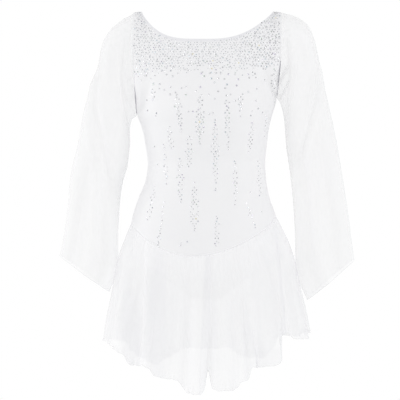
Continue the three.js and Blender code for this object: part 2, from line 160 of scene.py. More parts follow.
def wallObject(name, points, wall, wraps=False, paintedShadeShare=None):
    # a closed wall: the outer grid, the inner grid set in along its normals, and rims between them.
    # the last argument is how far each point takes the painted shade tone, from 0 to 1
    rows, columns = points.shape[:2]
    inner = points - gridNormals(points, wraps) * wall
    vertices = np.concatenate([points.reshape(-1, 3), inner.reshape(-1, 3)])
    spans = columns if wraps else columns - 1
    row, column = np.meshgrid(np.arange(rows - 1), np.arange(spans), indexing="ij")
    nextColumn = (column + 1) % columns
    corners = [row * columns + column, (row + 1) * columns + column]
    corners += [(row + 1) * columns + nextColumn, row * columns + nextColumn]
    outer = np.stack(corners, axis=-1).reshape(-1, 4)
    shift = rows * columns
    faces = [outer, outer[:, ::-1] + shift]
    lengthsAcross, lengthsDown = clothLengths(points, wraps)
    cornerRow = np.stack([row, row + 1, row + 1, row], axis=-1).reshape(-1, 4)
    cornerColumn = np.stack([column, column, column + 1, column + 1], axis=-1).reshape(-1, 4)
    outerUv = np.stack([lengthsAcross[cornerColumn], -lengthsDown[cornerRow]], axis=-1)
    uvs = [outerUv, outerUv[:, ::-1]]

    def rim(start, end, startUv, endUv):
        faces.append(np.stack([end, start, start + shift, end + shift], axis=-1))
        uvs.append(np.stack([endUv, startUv, startUv, endUv], axis=1))

    across = np.arange(spans)
    nextAcross = (across + 1) % columns
    topUv = np.stack([lengthsAcross[across], np.zeros(spans)], axis=-1)
    topNextUv = np.stack([lengthsAcross[across + 1], np.zeros(spans)], axis=-1)
    bottomDrop = np.array([0, -lengthsDown[-1]])
    last = (rows - 1) * columns
    rim(nextAcross, across, topNextUv, topUv)
    rim(last + across, last + nextAcross, topUv + bottomDrop, topNextUv + bottomDrop)
    if not wraps:
        down = np.arange(rows - 1)
        sideUv = np.stack([np.zeros(rows - 1), -lengthsDown[:-1]], axis=-1)
        sideNextUv = np.stack([np.zeros(rows - 1), -lengthsDown[1:]], axis=-1)
        farUv = np.array([lengthsAcross[-1], 0])
        end = columns - 1
        rim(down * columns, (down + 1) * columns, sideUv, sideNextUv)
        rim((down + 1) * columns + end, down * columns + end, sideNextUv + farUv, sideUv + farUv)
    made = meshObject(name, vertices, np.concatenate(faces), np.concatenate(uvs).reshape(-1, 2))
    made.data.set_sharp_from_angle(angle=60 * degree)
    if paintedShadeShare is not None:
        layer = made.data.attributes.new("paintedShadeShare", "FLOAT", "POINT")
        layer.data.foreach_set("value", np.tile(paintedShadeShare.ravel(), 2).astype(np.float32))
    return made


def tubeObject(name, path, normals, wide, thick, closed=False):
    # an eight-sided oval tube: cos(angle) along the normal and sin(angle) beside it, with flat ends.
    # "wide" and "thick" are numbers, or one number for each point of the path
    sides = 8
    beside = unit(np.cross(unit(np.gradient(path, axis=0)), normals))
    angles = np.arange(sides) * 2 * math.pi / sides
    count = len(path)
    outward = np.cos(angles) * np.broadcast_to(thick, count)[:, None] / 2
    sideways = np.sin(angles) * np.broadcast_to(wide, count)[:, None] / 2
    rings = path[:, None] + normals[:, None] * outward[..., None] + beside[:, None] * sideways[..., None]
    ring, side = np.meshgrid(np.arange(count if closed else count - 1), np.arange(sides), indexing="ij")
    here = ring * sides
    there = (ring + 1) % count * sides
    nextSide = (side + 1) % sides
    quads = np.stack([here + side, here + nextSide, there + nextSide, there + side], axis=-1).reshape(-1, 4)
    if not closed:
        cap = np.array([[0, 1, 2, 3], [0, 3, 4, 7], [4, 5, 6, 7]])
        quads = np.concatenate([quads, cap[:, ::-1], cap + (count - 1) * sides])
    return meshObject(name, rings.reshape(-1, 3), quads)


def manyObject(name, template, faces, place, sideA, sideB, normal, size):
    # one small shape repeated at each place, turned to its own three directions and scaled by its size
    scaled = template[None] * np.broadcast_to(size, (len(place), 3))[:, None]
    shaped = place[:, None] + sum(
        scaled[:, :, i:i + 1] * direction[:, None] for i, direction in enumerate((sideA, sideB, normal))
    )
    allFaces = faces[None] + (np.arange(len(place)) * len(template))[:, None, None]
    return meshObject(name, shaped.reshape(-1, 3), allFaces.reshape(-1, faces.shape[1]), smooth=False)


def colour(code):
    # an sRGB hex value as linear RGBA
    parts = [int(code[i:i + 2], 16) / 255 for i in (1, 3, 5)]
    linear = [part / 12.92 if part <= 0.04045 else ((part + 0.055) / 1.055) ** 2.4 for part in parts]
    return (*linear, 1.0)


def addNode(tree, kind, settings=None, inputs=None):
    # settings are the node's own properties; an input is a value or another node's output
    node = tree.nodes.new(kind)
    for name, value in (settings or {}).items():
        setattr(node, name, value)
    for name, value in (inputs or {}).items():
        if isinstance(value, bpy.types.NodeSocket):
            tree.links.new(value, node.inputs[name])
        else:
            node.inputs[name].default_value = value
    return node


def newMaterial(name):
    made = bpy.data.materials.new(name)
    made.use_nodes = True
    made.node_tree.nodes.clear()
    return made, made.node_tree


def outputShader(tree, shader):
    addNode(tree, "ShaderNodeOutputMaterial", inputs={"Surface": shader.outputs["BSDF"]})


def finishPiece(piece, material):
    # gives a piece its material and the body that it rides on
    piece.data.materials.append(material)
    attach(piece, "root")


waveLength = 0.314  # metres in one wave of a wave texture at a scale of 1


def clothMaterial(name, pattern, look):
    # the pattern of the cloth gives its mottled tone and its relief, and an attribute paints shade on it
    # where it lies double and in its folds and creases
    made, tree = newMaterial(name)
    place = addNode(tree, "ShaderNodeUVMap", {"uv_map": "cloth"}).outputs["UV"]
    mottle, relief = pattern(tree, place, look)
    single = addNode(
        tree,
        "ShaderNodeMix",
        {"data_type": "RGBA"},
        {"Factor": mottle, "A": colour(look["shade"]), "B": colour(look["light"])},
    )
    paintedShadeShare = addNode(tree, "ShaderNodeAttribute", {"attribute_name": "paintedShadeShare"})
    tone = addNode(
        tree,
        "ShaderNodeMix",
        {"data_type": "RGBA"},
        {"Factor": paintedShadeShare.outputs["Fac"], "A": single.outputs["Result"], "B": colour(look["paintedShadeColour"])},
    )
    bump = addNode(
        tree,
        "ShaderNodeBump",
        inputs={"Height": relief, "Strength": look["bumpStrength"], "Distance": look["bumpHeight"]},
    )
    shader = addNode(
        tree,
        "ShaderNodeBsdfPrincipled",
        inputs={
            "Base Color": tone.outputs["Result"],
            "Roughness": look["roughness"],
            "IOR": 1.5,
            "Specular IOR Level": look["specular"],
            "Sheen Weight": look["sheen"],
            "Sheen Roughness": look["sheenRoughness"],
            "Alpha": look["cover"],
            "Normal": bump.outputs["Normal"],
        },
    )
    outputShader(tree, shader)
    return made


# Nylon and elastane lycra, warp knitted in fine upright wales and dull finished: matt white with a
# soft sheen at grazing angles, and a painted shade where it lies double
lycra = {
    "light": "#f6f6f7",
    "shade": "#f2f2f4",
    "paintedShadeColour": "#e2e2e8",
    "cover": 1.0,
    "walesApart": 0.0024,
    "loops": 900.0,
    "clouds": 18.0,
    "roughness": 0.5,
    "specular": 0.35,
    "sheen": 0.15,
    "sheenRoughness": 0.4,
    "bumpStrength": 0.25,
    "bumpHeight": 0.00012,
}


def lycraKnit(tree, place, look):
    # real wales are 0.5 mm apart, too fine to show, so these are drawn five times as coarse
    wales = addNode(
        tree,
        "ShaderNodeTexWave",
        {"wave_type": "BANDS", "bands_direction": "X"},
        {"Vector": place, "Scale": waveLength / look["walesApart"], "Distortion": 0.6},
    )
    loops, clouds = [
        addNode(tree, "ShaderNodeTexNoise", None, {"Vector": place, "Scale": look[part], "Detail": detail})
        for part, detail in (("loops", 2.0), ("clouds", 3.0))
    ]
    relief = addNode(
        tree,
        "ShaderNodeMath",
        {"operation": "MULTIPLY_ADD"},
        {0: loops.outputs["Fac"], 1: 0.6, 2: wales.outputs["Fac"]},
    )
    return clouds.outputs["Fac"], relief.outputs[0]


# Polyester chiffon, a sheer plain weave of hard-twisted crepe yarns: it is matt, faintly grainy and
# lets part of what lies behind it show through each layer
chiffon = {
    "light": "#fefefe",
    "shade": "#fafafc",
    # the colour of the painted shade in folds and creases and where the cloth lies double
    "paintedShadeColour": "#e8e8ed",
    "cover": 0.34,
    "yarnsApart": 0.0021,
    "crepe": 240.0,
    "roughness": 0.75,
    "specular": 0.15,
    "sheen": 0.06,
    "sheenRoughness": 0.5,
    "bumpStrength": 0.3,
    "bumpHeight": 0.00015,
}


def chiffonWeave(tree, place, look):
    # real yarns are 0.25 mm apart, too fine to show, so the weave is drawn eight times as coarse
    yarns = [
        addNode(
            tree,
            "ShaderNodeTexWave",
            {"wave_type": "BANDS", "bands_direction": direction},
            {"Vector": place, "Scale": waveLength / look["yarnsApart"], "Distortion": 1.5},
        )
        for direction in ("X", "Y")
    ]
    weave = addNode(
        tree,
        "ShaderNodeMath",
        {"operation": "MAXIMUM"},
        {0: yarns[0].outputs["Fac"], 1: yarns[1].outputs["Fac"]},
    )
    crepe = addNode(
        tree, "ShaderNodeTexNoise", None, {"Vector": place, "Scale": look["crepe"], "Detail": 3.0}
    )
    relief = addNode(
        tree,
        "ShaderNodeMath",
        {"operation": "MULTIPLY_ADD"},
        {0: crepe.outputs["Fac"], 1: 1.5, 2: weave.outputs[0]},
    )
    return crepe.outputs["Fac"], relief.outputs[0]


# Foil-backed cut glass, pressed and polished: each facet mirrors the room, and its tone in a colour
# attribute adds the foil's tint and a painted shade and glint, so the stones glitter from light to dark
def cutGlassMaterial(name):
    made, tree = newMaterial(name)
    tone = addNode(tree, "ShaderNodeAttribute", {"attribute_name": "facetTintAndPaintedLight"})
    shader = addNode(
        tree,
        "ShaderNodeBsdfPrincipled",
        inputs={
            "Base Color": tone.outputs["Color"],
            "Metallic": 0.8,
            "Roughness": 0.16,
            "Coat Weight": 0.4,
            "Coat Roughness": 0.05,
        },
    )
    outputShader(tree, shader)
    return made


# Spun polyester sewing thread, twisted and lightly waxed: soft satin white
def threadMaterial(name, dark, light):
    made, tree = newMaterial(name)
    place = addNode(tree, "ShaderNodeTexCoord").outputs["Object"]
    twist = addNode(tree, "ShaderNodeTexNoise", None, {"Vector": place, "Scale": 1500.0, "Detail": 1.0})
    tone = addNode(
        tree,
        "ShaderNodeMix",
        {"data_type": "RGBA"},
        {"Factor": twist.outputs["Fac"], "A": colour(dark), "B": colour(light)},
    )
    bump = addNode(tree, "ShaderNodeBump", inputs={"Height": twist.outputs["Fac"], "Distance": 0.0001})
    shader = addNode(
        tree,
        "ShaderNodeBsdfPrincipled",
        inputs={
            "Base Color": tone.outputs["Result"],
            "Roughness": 0.42,
            "IOR": 1.5,
            "Sheen Weight": 0.2,
            "Normal": bump.outputs["Normal"],
        },
    )
    outputShader(tree, shader)
    return made


bodiceLycra = clothMaterial("warp_knit_stretch_lycra", lycraKnit, lycra)
# the briefs take a whiter copy of the lycra, painted light against the shade under the skirt
briefLycra = clothMaterial(
    "fine_knit_brief_lycra", lycraKnit, {**lycra, "light": "#ffffff", "shade": "#fdfdfe"}
)
skirtChiffon = clothMaterial("sheer_polyester_chiffon", chiffonWeave, chiffon)
# the sleeves are of a thinner chiffon than the skirt
sleeveChiffon = clothMaterial(
    "sheer_sleeve_chiffon",
    chiffonWeave,
    {**chiffon, "light": "#ffffff", "shade": "#fcfcfd", "paintedShadeColour": "#e9e9ea", "cover": 0.275},
)
hemChiffon = clothMaterial(
    "rolled_chiffon_hem", chiffonWeave, {**chiffon, "light": "#fcfcfd", "shade": "#f6f6f8", "cover": 0.28}
)
foiledGlass = cutGlassMaterial("foiled_cut_glass")
sewingThread = threadMaterial("spun_polyester_thread", "#e9e9ee", "#fafafc")
# a dark grey thread, a painted shadow for the armhole seams in the fold round the underarm
paintedShadowThread = threadMaterial("painted_shadow_seam_thread", "#84848e", "#9c9ca6")
print("materials made")

neck = {
    "halfWidth": 137,
    "depth": {"front": 62, "back": 96},
    "power": {"front": {"negX": 4, "posX": 2.6}, "back": {"negX": 2.7, "posX": 2.7}},
    "shoulderFall": 3,
}
armhole = {
    "down": {"negX": 212, "posX": 174},
    "front": 48,
    "back": 57,
    "fullness": 2.4,
    "pinch": 0.42,  # how far the seam is drawn in near the underarm, as a share of its depth
    "pinchAt": {"negX": 0.92, "posX": 0.86},
    "pinchReach": {"negX": 0.17, "posX": 0.22},
}
dropSeam = {
    "down": {"negX": 446, "posX": 432, "front": 511, "back": 482},
    "lowest": {"front": -0.18, "back": 0},
    "power": 1.8,
}
torso = table(
    "down negX posX front back",
    [
        (0, 153, 157, 0, 0),
        (4, 153, 157, 20, 22),
        (12, 154, 157, 32, 36),
        (30, 154, 156, 47, 54),
        (60, 154, 155, 64, 73),
        (100, 154, 154, 84, 89),
        (150, 150.5, 150, 105, 97),
        (188, 148, 146.5, 117, 96),
        (212, 146.5, 139.5, 119, 93),
        (246, 135, 131, 114, 85),
        (286, 127, 126, 103, 75),
        (320, 123, 123, 97, 71),
        (352, 127, 125, 98, 78),
        (390, 142, 132, 102, 93),
        (430, 155, 146, 106, 107),
        (480, 164, 158, 110, 117),
        (540, 168, 164, 112, 118),
    ],
)
torsoAt = {column: curveThrough(torso, "down", column) for column in ("negX", "posX", "front", "back")}
section = {
    "flatTo": 0.4,  # the cross-section is flatter down to this share of the armhole's depth
    "roundFrom": 1.35,  # and an ellipse from this share on
    "edgeReach": 0.28,  # how far in from the side the armhole's edge carries, as a share of the half width
    "leastReach": 0.12,  # the least share of that reach, where the edge lies shallow
    "shelfFrom": 0.72,  # where across the flatter part starts to fall back to the side
    "pinchFrom": 0.93,
}


def bySide(across, sides):
    # the value for -X or +X, by the sign of "across"
    return np.where(across < 0, sides["negX"], sides["posX"])


def halfWidthAt(across, down):
    return np.where(across < 0, torsoAt["negX"](down), torsoAt["posX"](down))


def loopDepth(share):
    # depth of an armhole or sleeve loop as a share of its greatest, 0 at each end of the loop
    return np.sqrt(np.maximum(1 - np.abs(2 * np.clip(share, 0, 1) - 1) ** armhole["fullness"], 0))


def armholeShare(across, down):
    return (down - neck["shoulderFall"]) / (bySide(across, armhole["down"]) - neck["shoulderFall"])


def seamPinch(across, share):
    away = (share - bySide(across, armhole["pinchAt"])) / bySide(across, armhole["pinchReach"])
    return armhole["pinch"] * hump(away)


def torsoPoint(face, turn, down):
    # x = W sin(turn). The depth runs from an ellipse, D cos(turn), below the armholes to a flatter
    # E + (D - E) cos(turn)^2 above them, and close beside the armhole it meets the armhole's edge,
    # which is drawn in near the underarm
    turn, down = np.broadcast_arrays(turn, down)
    share = armholeShare(turn, down)
    side = np.abs(np.sin(turn))
    cosine = np.maximum(np.cos(turn), 0)
    deep = torsoAt[face](down)
    upper = 1 - smoothStep(section["flatTo"], section["roundFrom"], share)
    shelf = armhole[face] * loopDepth(np.clip(share, 0, 0.5))
    edge = armhole[face] * np.where(share >= 1, 0, loopDepth(share))
    depth = mix(deep * cosine, shelf + (deep - shelf) * cosine**2, upper)
    reach = section["edgeReach"] * np.maximum(edge / armhole[face], section["leastReach"])
    depth = depth + edge * smoothStep(1 - reach, 1, side)
    depth = depth - upper * shelf * smoothStep(section["shelfFrom"], 1, side)
    depth = depth - edge * seamPinch(turn, share) * smoothStep(section["pinchFrom"], 1, side)
    return np.stack([halfWidthAt(turn, down) * np.sin(turn), ySign[face] * depth, -down], axis=-1)


neckTurn = math.asin(neck["halfWidth"] / torso[0]["negX"])


def topDown(face, turn):
    # the shoulder seam, then the scoop: 1 - share^p of its depth, p differing from side to side
    share = np.abs(np.sin(turn)) / math.sin(neckTurn)
    scoop = neck["depth"][face] * (1 - np.minimum(share, 1) ** bySide(turn, neck["power"][face]))
    shoulder = neck["shoulderFall"] * (np.abs(turn) - neckTurn) / (math.pi / 2 - neckTurn)
    return np.where(np.abs(turn) >= neckTurn, shoulder, scoop)


def bottomDown(face, turn):
    # from its lowest point the drop seam rises to each side as a power of the way there
    lowest = dropSeam["lowest"][face]
    across = np.sin(turn) - lowest
    reach = np.where(across < 0, 1 + lowest, 1 - lowest)
    rise = (np.abs(across) / reach) ** dropSeam["power"]
    return mix(dropSeam["down"][face], bySide(across, dropSeam["down"]), rise)


bodice = {
    "wall": 0.8,
    "strapColumns": 12,
    "neckColumns": 110,
    "armholeRows": 72,
    "bodyRows": 76,
    "turnedEdge": 6,
    "edgeEnds": 0.06,  # radians over which the turned edge grows from the shoulder
    "edgeProud": 0.35,
    "edgeTone": 0.4,  # how far the turned edge takes the painted shade tone, from 0 to 1
    "drawnIn": 0.5,
    "drawnInBelow": 0.6,
    "drawnInHalf": 1.6,
    "seamGroove": 0.6,
    "seamReach": 3,
    # how far the seam allowances take the painted shade tone, from 0 to 1
    "seamTone": 0.3,
    "allowance": (5, 8),  # the painted shade over the seam allowance fades between these distances from the seam
    "neckClear": (2, 20),  # the creases grow between these distances from the neck's edge
    "sideClear": (0, 14),
}

# Drag lines of the stretched cloth: straight lines between (across, down) points of a panel, their
# half width, and how far they stand out (a trough is negative)
creaseColumns = "fromX fromDown toX toDown half out"
bodiceCreases = {
    "front": table(
        creaseColumns,
        [
            (-148, 182, -92, 240, 9, -0.8),
            (-140, 222, -96, 280, 8, -0.6),
            (146, 160, 92, 214, 9, -0.8),
            (136, 206, 94, 262, 8, -0.6),
            (-126, 312, -66, 328, 6, -0.35),
            (-128, 334, -76, 342, 6, 0.3),
            (125, 308, 70, 322, 6, -0.35),
            (126, 332, 84, 340, 6, 0.3),
            (-150, 420, -90, 454, 9, -0.5),
            (144, 410, 96, 442, 9, -0.5),
        ],
    ),
    "back": table(
        creaseColumns,
        [
            (-147, 170, -80, 222, 10, -1.0),
            (-148, 204, -84, 232, 9, 0.7),
            (145, 158, 82, 206, 10, -1.0),
            (143, 188, 82, 218, 9, 0.7),
            (-120, 300, 22, 312, 7, -0.9),
            (-122, 326, -24, 332, 6, 0.7),
            (120, 306, 8, 322, 7, -0.9),
            (122, 336, 34, 346, 6, 0.7),
            (-126, 352, 40, 364, 7, -0.7),
            (146, 420, 66, 452, 9, -0.6),
        ],
    ),
}


creaseGrows = (-0.15, 0.3)  # the shares of a crease's length between which it grows, and fades out
creaseFades = (0.55, 1.1)


def creaseField(creases, x, down):
    # each crease is a cosine hump across its line, which grows and fades out along it
    total = np.zeros(np.broadcast(x, down).shape)
    for crease in creases:
        runX = crease["toX"] - crease["fromX"]
        runDown = crease["toDown"] - crease["fromDown"]
        length = math.hypot(runX, runDown)
        along = ((x - crease["fromX"]) * runX + (down - crease["fromDown"]) * runDown) / length
        beside = ((x - crease["fromX"]) * runDown - (down - crease["fromDown"]) * runX) / length
        way = along / length
        ends = smoothStep(*creaseGrows, way) * (1 - smoothStep(*creaseFades, way))
        total = total + crease["out"] * hump(beside / (2 * crease["half"])) * ends
    return total


def bodiceLevels(side):
    # rows gather where the armhole's edge turns: share = (1 - cos) / 2 down the armhole
    steps = np.arange(bodice["armholeRows"] + 1) / bodice["armholeRows"]
    armholeLevels = mix(neck["shoulderFall"], armhole["down"][side], (1 - np.cos(math.pi * steps)) / 2)
    body = np.arange(1, bodice["bodyRows"] + 1) / bodice["bodyRows"]
    return np.concatenate([armholeLevels, mix(armhole["down"][side], dropSeam["down"][side], body)])


def bodicePanel(face):
    # the panel's grid of points, and where it takes a painted shade: on its turned neck edge and its seams,
    # where the cloth lies double
    strap = np.linspace(math.pi / 2, neckTurn, bodice["strapColumns"], endpoint=False)
    middle = np.linspace(-neckTurn, neckTurn, bodice["neckColumns"] + 1)
    turns = np.concatenate([-strap, middle, strap[::-1]])
    levels = mix(bodiceLevels("negX")[:, None], bodiceLevels("posX")[:, None], (1 + np.sin(turns)) / 2)
    shares = (levels - levels[0]) / (levels[-1] - levels[0])
    top = topDown(face, turns)
    bottom = bottomDown(face, turns)
    down = mix(top, bottom, shares)
    points = torsoPoint(face, turns, down)
    normals = gridNormals(points) * -ySign[face]
    edge = bodice["turnedEdge"]
    sideReach = (math.pi / 2 - np.abs(turns)) * halfWidthAt(turns, down)
    # the turned neck edge stands proud as far as its stitch line, where the cloth is drawn in
    inNeck = smoothStep(0, bodice["edgeEnds"], neckTurn - np.abs(turns))
    turned = inNeck * (1 - smoothStep(edge - 1, edge + 1, down - top))
    belowEdge = down - top - edge
    drawnIn = bodice["drawnIn"] * inNeck * hump((belowEdge - bodice["drawnInBelow"]) / bodice["drawnInHalf"])
    groove = bodice["seamGroove"] * hump(sideReach / bodice["seamReach"])
    creases = creaseField(bodiceCreases[face], points[..., 0], down)
    out = creases * smoothStep(*bodice["neckClear"], down - top) * smoothStep(*bodice["sideClear"], sideReach)
    out = out + bodice["edgeProud"] * (turned - drawnIn) - groove
    points = points + normals * out[..., None]
    allowance = 1 - smoothStep(*bodice["allowance"], sideReach)
    paintedShadeShare = np.maximum(bodice["edgeTone"] * turned, bodice["seamTone"] * allowance)
    return (points, paintedShadeShare) if face == "front" else (points[:, ::-1], paintedShadeShare[:, ::-1])


for face, flat, area in (("front", (0.40, 0.50), 0.148), ("back", (0.38, 0.47), 0.132)):
    points, paintedShadeShare = bodicePanel(face)
    piece = wallObject(f"bodice_{face}_shell", points, bodice["wall"], paintedShadeShare=paintedShadeShare)
    finishPiece(piece, bodiceLycra)
    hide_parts(f"bodice_{face}")
print("bodice made")


skirt = {
    "halfWidth": 218,
    "depth": {"front": 168, "back": 172},
    "wall": 0.45,
    "columns": 380,
    "rows": 84,
    "rowPower": 1.15,  # rows lie closer below the seam than at the hem
    "sideFade": 12,  # degrees from the side seam within which flutes and gathers die away
    "seamGap": 0.15,
    # all that grows or fades does so between two shares of the way from the seam to the hem
    "puff": 1.0,  # how far the gathered cloth springs out just below the seam
    "puffGrows": (0, 0.06),
    "puffFades": (0.07, 0.25),
    "gathers": 0.35,
    "gatherLengths": (2.6, 3.7, 5.3),  # degrees round the body, as all the wave lengths here are
    "gatherGrows": (0, 0.03),
    "gatherMiddle": 0.05,
    "gatherReach": 0.3,
    "fine": 1.2,
    "fineLengths": (7, 11),
    "fineLean": 6,
    "fineGrows": (0.1, 0.8),
    "slack": 7,  # how far the troughs between the flutes lie inside the hem's oval
    "slackGrows": (0, 0.8),
    "hemWide": 1.8,
    "hemThick": 1.1,
    "seamIn": 1.0,
    "seamWide": 2.0,
    "seamThick": 0.9,
    "hemWaves": 1.3,  # how far the stretched hem waves in and out
    "hemWaveLengths": (2.9, 4.3, 3.5),
    "hemWavesGrow": (0.9, 1),
    "hemDips": 0.7,  # and up and down
    "hemDipLengths": (3.8, 5.9, 9.1),
    "dense": 0.3,  # how much painted shade the cloth takes where it falls back from a flute, from 0 to 1
    # the slope at which that painted shade is full
    "shadeSlope": 1.5,
    # a faint painted shade above the front hem
    "shade": {"dense": 0.15, "top": 692, "middle": 706, "bottom": 772},
}
flare = table("way out", [(0, 0), (0.12, 0.2), (0.25, 0.41), (0.4, 0.56), (0.6, 0.7), (0.8, 0.87), (1, 1)])
flareAt = curveThrough(flare, "way", "out")

# The hem's height round each panel, by the turn at which each flute ends
hemLine = {
    "front": table(
        "turn down",
        [
            (-90, 690),
            (-76, 691.5),
            (-63, 699),
            (-52.5, 709),
            (-49, 713),
            (-46.5, 729),
            (-44, 735),
            (-37, 734),
            (-31, 739),
            (-28.5, 752),
            (-26.5, 757),
            (-17, 762),
            (-11.5, 784),
            (-8, 789),
            (-2.4, 790),
            (-0.8, 780),
            (0.8, 742),
            (3, 781),
            (11, 783),
            (15.5, 777),
            (17.5, 766),
            (21.9, 763),
            (23.1, 735),
            (27, 738),
            (34, 735),
            (38.2, 731),
            (40.6, 714),
            (41.9, 677),
            (45.4, 671),
            (53.5, 668.5),
            (57.5, 682),
            (66, 683),
            (74.5, 678),
            (80, 670),
            (90, 669),
        ],
    ),
    "back": table(
        "turn down",
        [
            (-90, 690),
            (-76, 689),
            (-58, 695),
            (-44, 720),
            (-30, 751),
            (-22, 737),
            (-10, 716),
            (0, 719),
            (12, 715),
            (18, 730),
            (24, 737),
            (32, 738),
            (40, 716),
            (47, 684),
            (58, 687),
            (78, 676),
            (90, 674),
        ],
    ),
}
hemAt = {face: curveThrough(rows, "turn", "down") for face, rows in hemLine.items()}

# Flutes: the distance across at which each leaves the seam and meets the hem, its half width to
# either side in degrees, how far it stands out at the hem (a trough is negative) and swings to +X
# there, and the shares of the way down at which it starts and is full. They lean over to -X, with
# a short steep side there and a long slack one
fluteColumns = "topX hemX left right out swing start full"
flutes = {
    "front": table(
        fluteColumns,
        [
            (-150, -200, 6, 8, 7, 0, 0.2, 1.1),
            (-168, -172, 7, 8, 15, -2, 0, 0.9),
            (-114, -120, 3.4, 7.5, 19, 0, -0.3, 0.6),
            (-62, -66, 4, 6, 7, 2, 0, 1),
            (-4, -12, 5.4, 2.6, 19, -3, -0.3, 0.7),
            (6, 2, 2, 2, -13, 0, 0.55, 1),
            (24, 32, 4.5, 10, 16, 3, -0.1, 0.8),
            (66, 76, 3, 3, 6, 0, 0.3, 1),
            (84, 92, 2, 2, 6, 11, 0.6, 1),
            (128, 138, 5, 6.5, 24, 2, -0.3, 0.7),
            (150, 152, 2.4, 2, 6, 0, 0.4, 1),
            (146, 146, 1.0, 3, 0, -10, 0.7, 1),
            (156, 200, 5.5, 6, 16, 2, 0, 0.9),
        ],
    ),
    "back": table(
        fluteColumns,
        [
            (-160, -196, 6, 7, 12, 0, 0.1, 1.1),
            (-132, -150, 5, 7, 18, -3, -0.2, 0.8),
            (-82, -92, 3.6, 8, 19, 2, -0.1, 0.8),
            (-40, -44, 4, 5, 10, 0, 0.1, 1),
            (2, 6, 5, 3, 17, -3, -0.2, 0.7),
            (34, 42, 4, 6, 12, 3, 0.1, 0.9),
            (78, 92, 5, 8, 20, 2, -0.3, 0.7),
            (118, 142, 4, 6, 14, -2, 0, 0.9),
            (150, 188, 6, 6, 13, 3, 0.1, 1),
        ],
    ),
}


def fluteSum(rows, turn, way, halfWidth, column):
    # each flute is a cosine hump round its own line down the cloth, growing from its start
    total = np.zeros(np.broadcast(turn, way).shape)
    for row in rows:
        middle = np.arcsin(np.clip(mix(row["topX"], row["hemX"], way) / halfWidth, -0.999, 0.999))
        distance = (turn - middle) / degree
        half = np.where(distance < 0, row["left"], row["right"])
        total = total + row[column] * hump(distance / (2 * half)) * smoothStep(row["start"], row["full"], way)
    return total


def skirtGrid(face):
    # from the drop seam to an oval hem, bowed by the flare, with the flutes added outwards and
    # sideways, gathers that fade out below the seam, and a soft puff just under it
    turn = np.linspace(-math.pi / 2, math.pi / 2, skirt["columns"] + 1)[None, :]
    degrees = turn / degree
    way = (np.linspace(0, 1, skirt["rows"] + 1) ** skirt["rowPower"])[:, None]
    sign = ySign[face]
    seamDown = bottomDown(face, turn)
    start = torsoPoint(face, turn, seamDown)
    share = flareAt(way)
    halfWidth = mix(halfWidthAt(turn, seamDown), skirt["halfWidth"], share)
    inside = smoothStep(0, skirt["sideFade"], 90 - np.abs(degrees))
    close = hump((way - skirt["gatherMiddle"]) / skirt["gatherReach"])
    close = close * smoothStep(*skirt["gatherGrows"], way)
    gathers = skirt["gathers"] * ripple(degrees, skirt["gatherLengths"], seed=7) * close
    leaning = degrees + skirt["fineLean"] * way
    fine = skirt["fine"] * ripple(leaning, skirt["fineLengths"], seed=9)
    waves = skirt["hemWaves"] * ripple(degrees, skirt["hemWaveLengths"], seed=15 if face == "front" else 16)
    fine = fine * smoothStep(*skirt["fineGrows"], way) + waves * smoothStep(*skirt["hemWavesGrow"], way) ** 2
    puff = skirt["puff"] * smoothStep(*skirt["puffGrows"], way)
    puff = puff * (1 - smoothStep(*skirt["puffFades"], way))
    stands = fluteSum(flutes[face], turn, way, halfWidth, "out")
    # a painted shade on the side where each flute falls back
    falling = -np.gradient(stands, axis=1) / np.gradient(degrees, axis=1)
    dense = skirt["dense"] * smoothStep(0, skirt["shadeSlope"], falling)
    out = stands - skirt["slack"] * smoothStep(*skirt["slackGrows"], way)
    out = (out + fine + gathers) * inside + puff
    swing = inside * fluteSum(flutes[face], turn, way, halfWidth, "swing")
    x = halfWidth * np.sin(turn) + np.sin(turn) * out + swing
    y = mix(start[..., 1], sign * skirt["depth"][face] * np.cos(turn), share) + sign * np.cos(turn) * out
    hem = hemAt[face](degrees) + skirt["hemDips"] * ripple(degrees, skirt["hemDipLengths"], seed=17)
    z = mix(start[..., 2] - skirt["seamGap"], -hem, way)
    points = np.stack([x, y, z], axis=-1)
    if face == "back":
        return points[:, ::-1], dense[:, ::-1]
    # and on the front a faint painted shade above the hem
    shade = skirt["shade"]
    shaded = smoothStep(shade["top"], shade["middle"], -z)
    shaded = shaded * (1 - smoothStep(shade["middle"], shade["bottom"], -z))
    return points, np.maximum(dense, shade["dense"] * shaded)


def rolledHem(name, grid, look, wraps=False):
    # a thin roll of cloth along the last row of a grid
    normals = gridNormals(grid, wraps)[-1]
    path = grid[-1] - normals * look["wall"] / 2
    hem = tubeObject(f"{name}_rolled_hem", path, normals, look["hemWide"], look["hemThick"], wraps)
    finishPiece(hem, hemChiffon)
    return hem


def insideSeam(name, grid, column, look, wraps=False):
    # a seam down one column of a grid, on the inside of the cloth
    normals = gridNormals(grid, wraps)[:, column]
    path = grid[:, column] - look["seamIn"] * normals
    seam = tubeObject(name, path, normals, look["seamWide"], look["seamThick"])
    finishPiece(seam, hemChiffon)


for face, flat, area in (("front", (0.80, 0.33), 0.155), ("back", (0.78, 0.30), 0.140)):
    grid, dense = skirtGrid(face)
    piece = wallObject(f"skirt_{face}_shell", grid, skirt["wall"], paintedShadeShare=dense)
    finishPiece(piece, skirtChiffon)
    hem = rolledHem(f"skirt_{face}", grid, skirt)
    if face == "front":
        insideSeam("skirt_right_side_seam", grid, 0, skirt)
        insideSeam("skirt_left_side_seam", grid, -1, skirt)
    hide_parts(f"skirt_{face}")
print("skirt made")


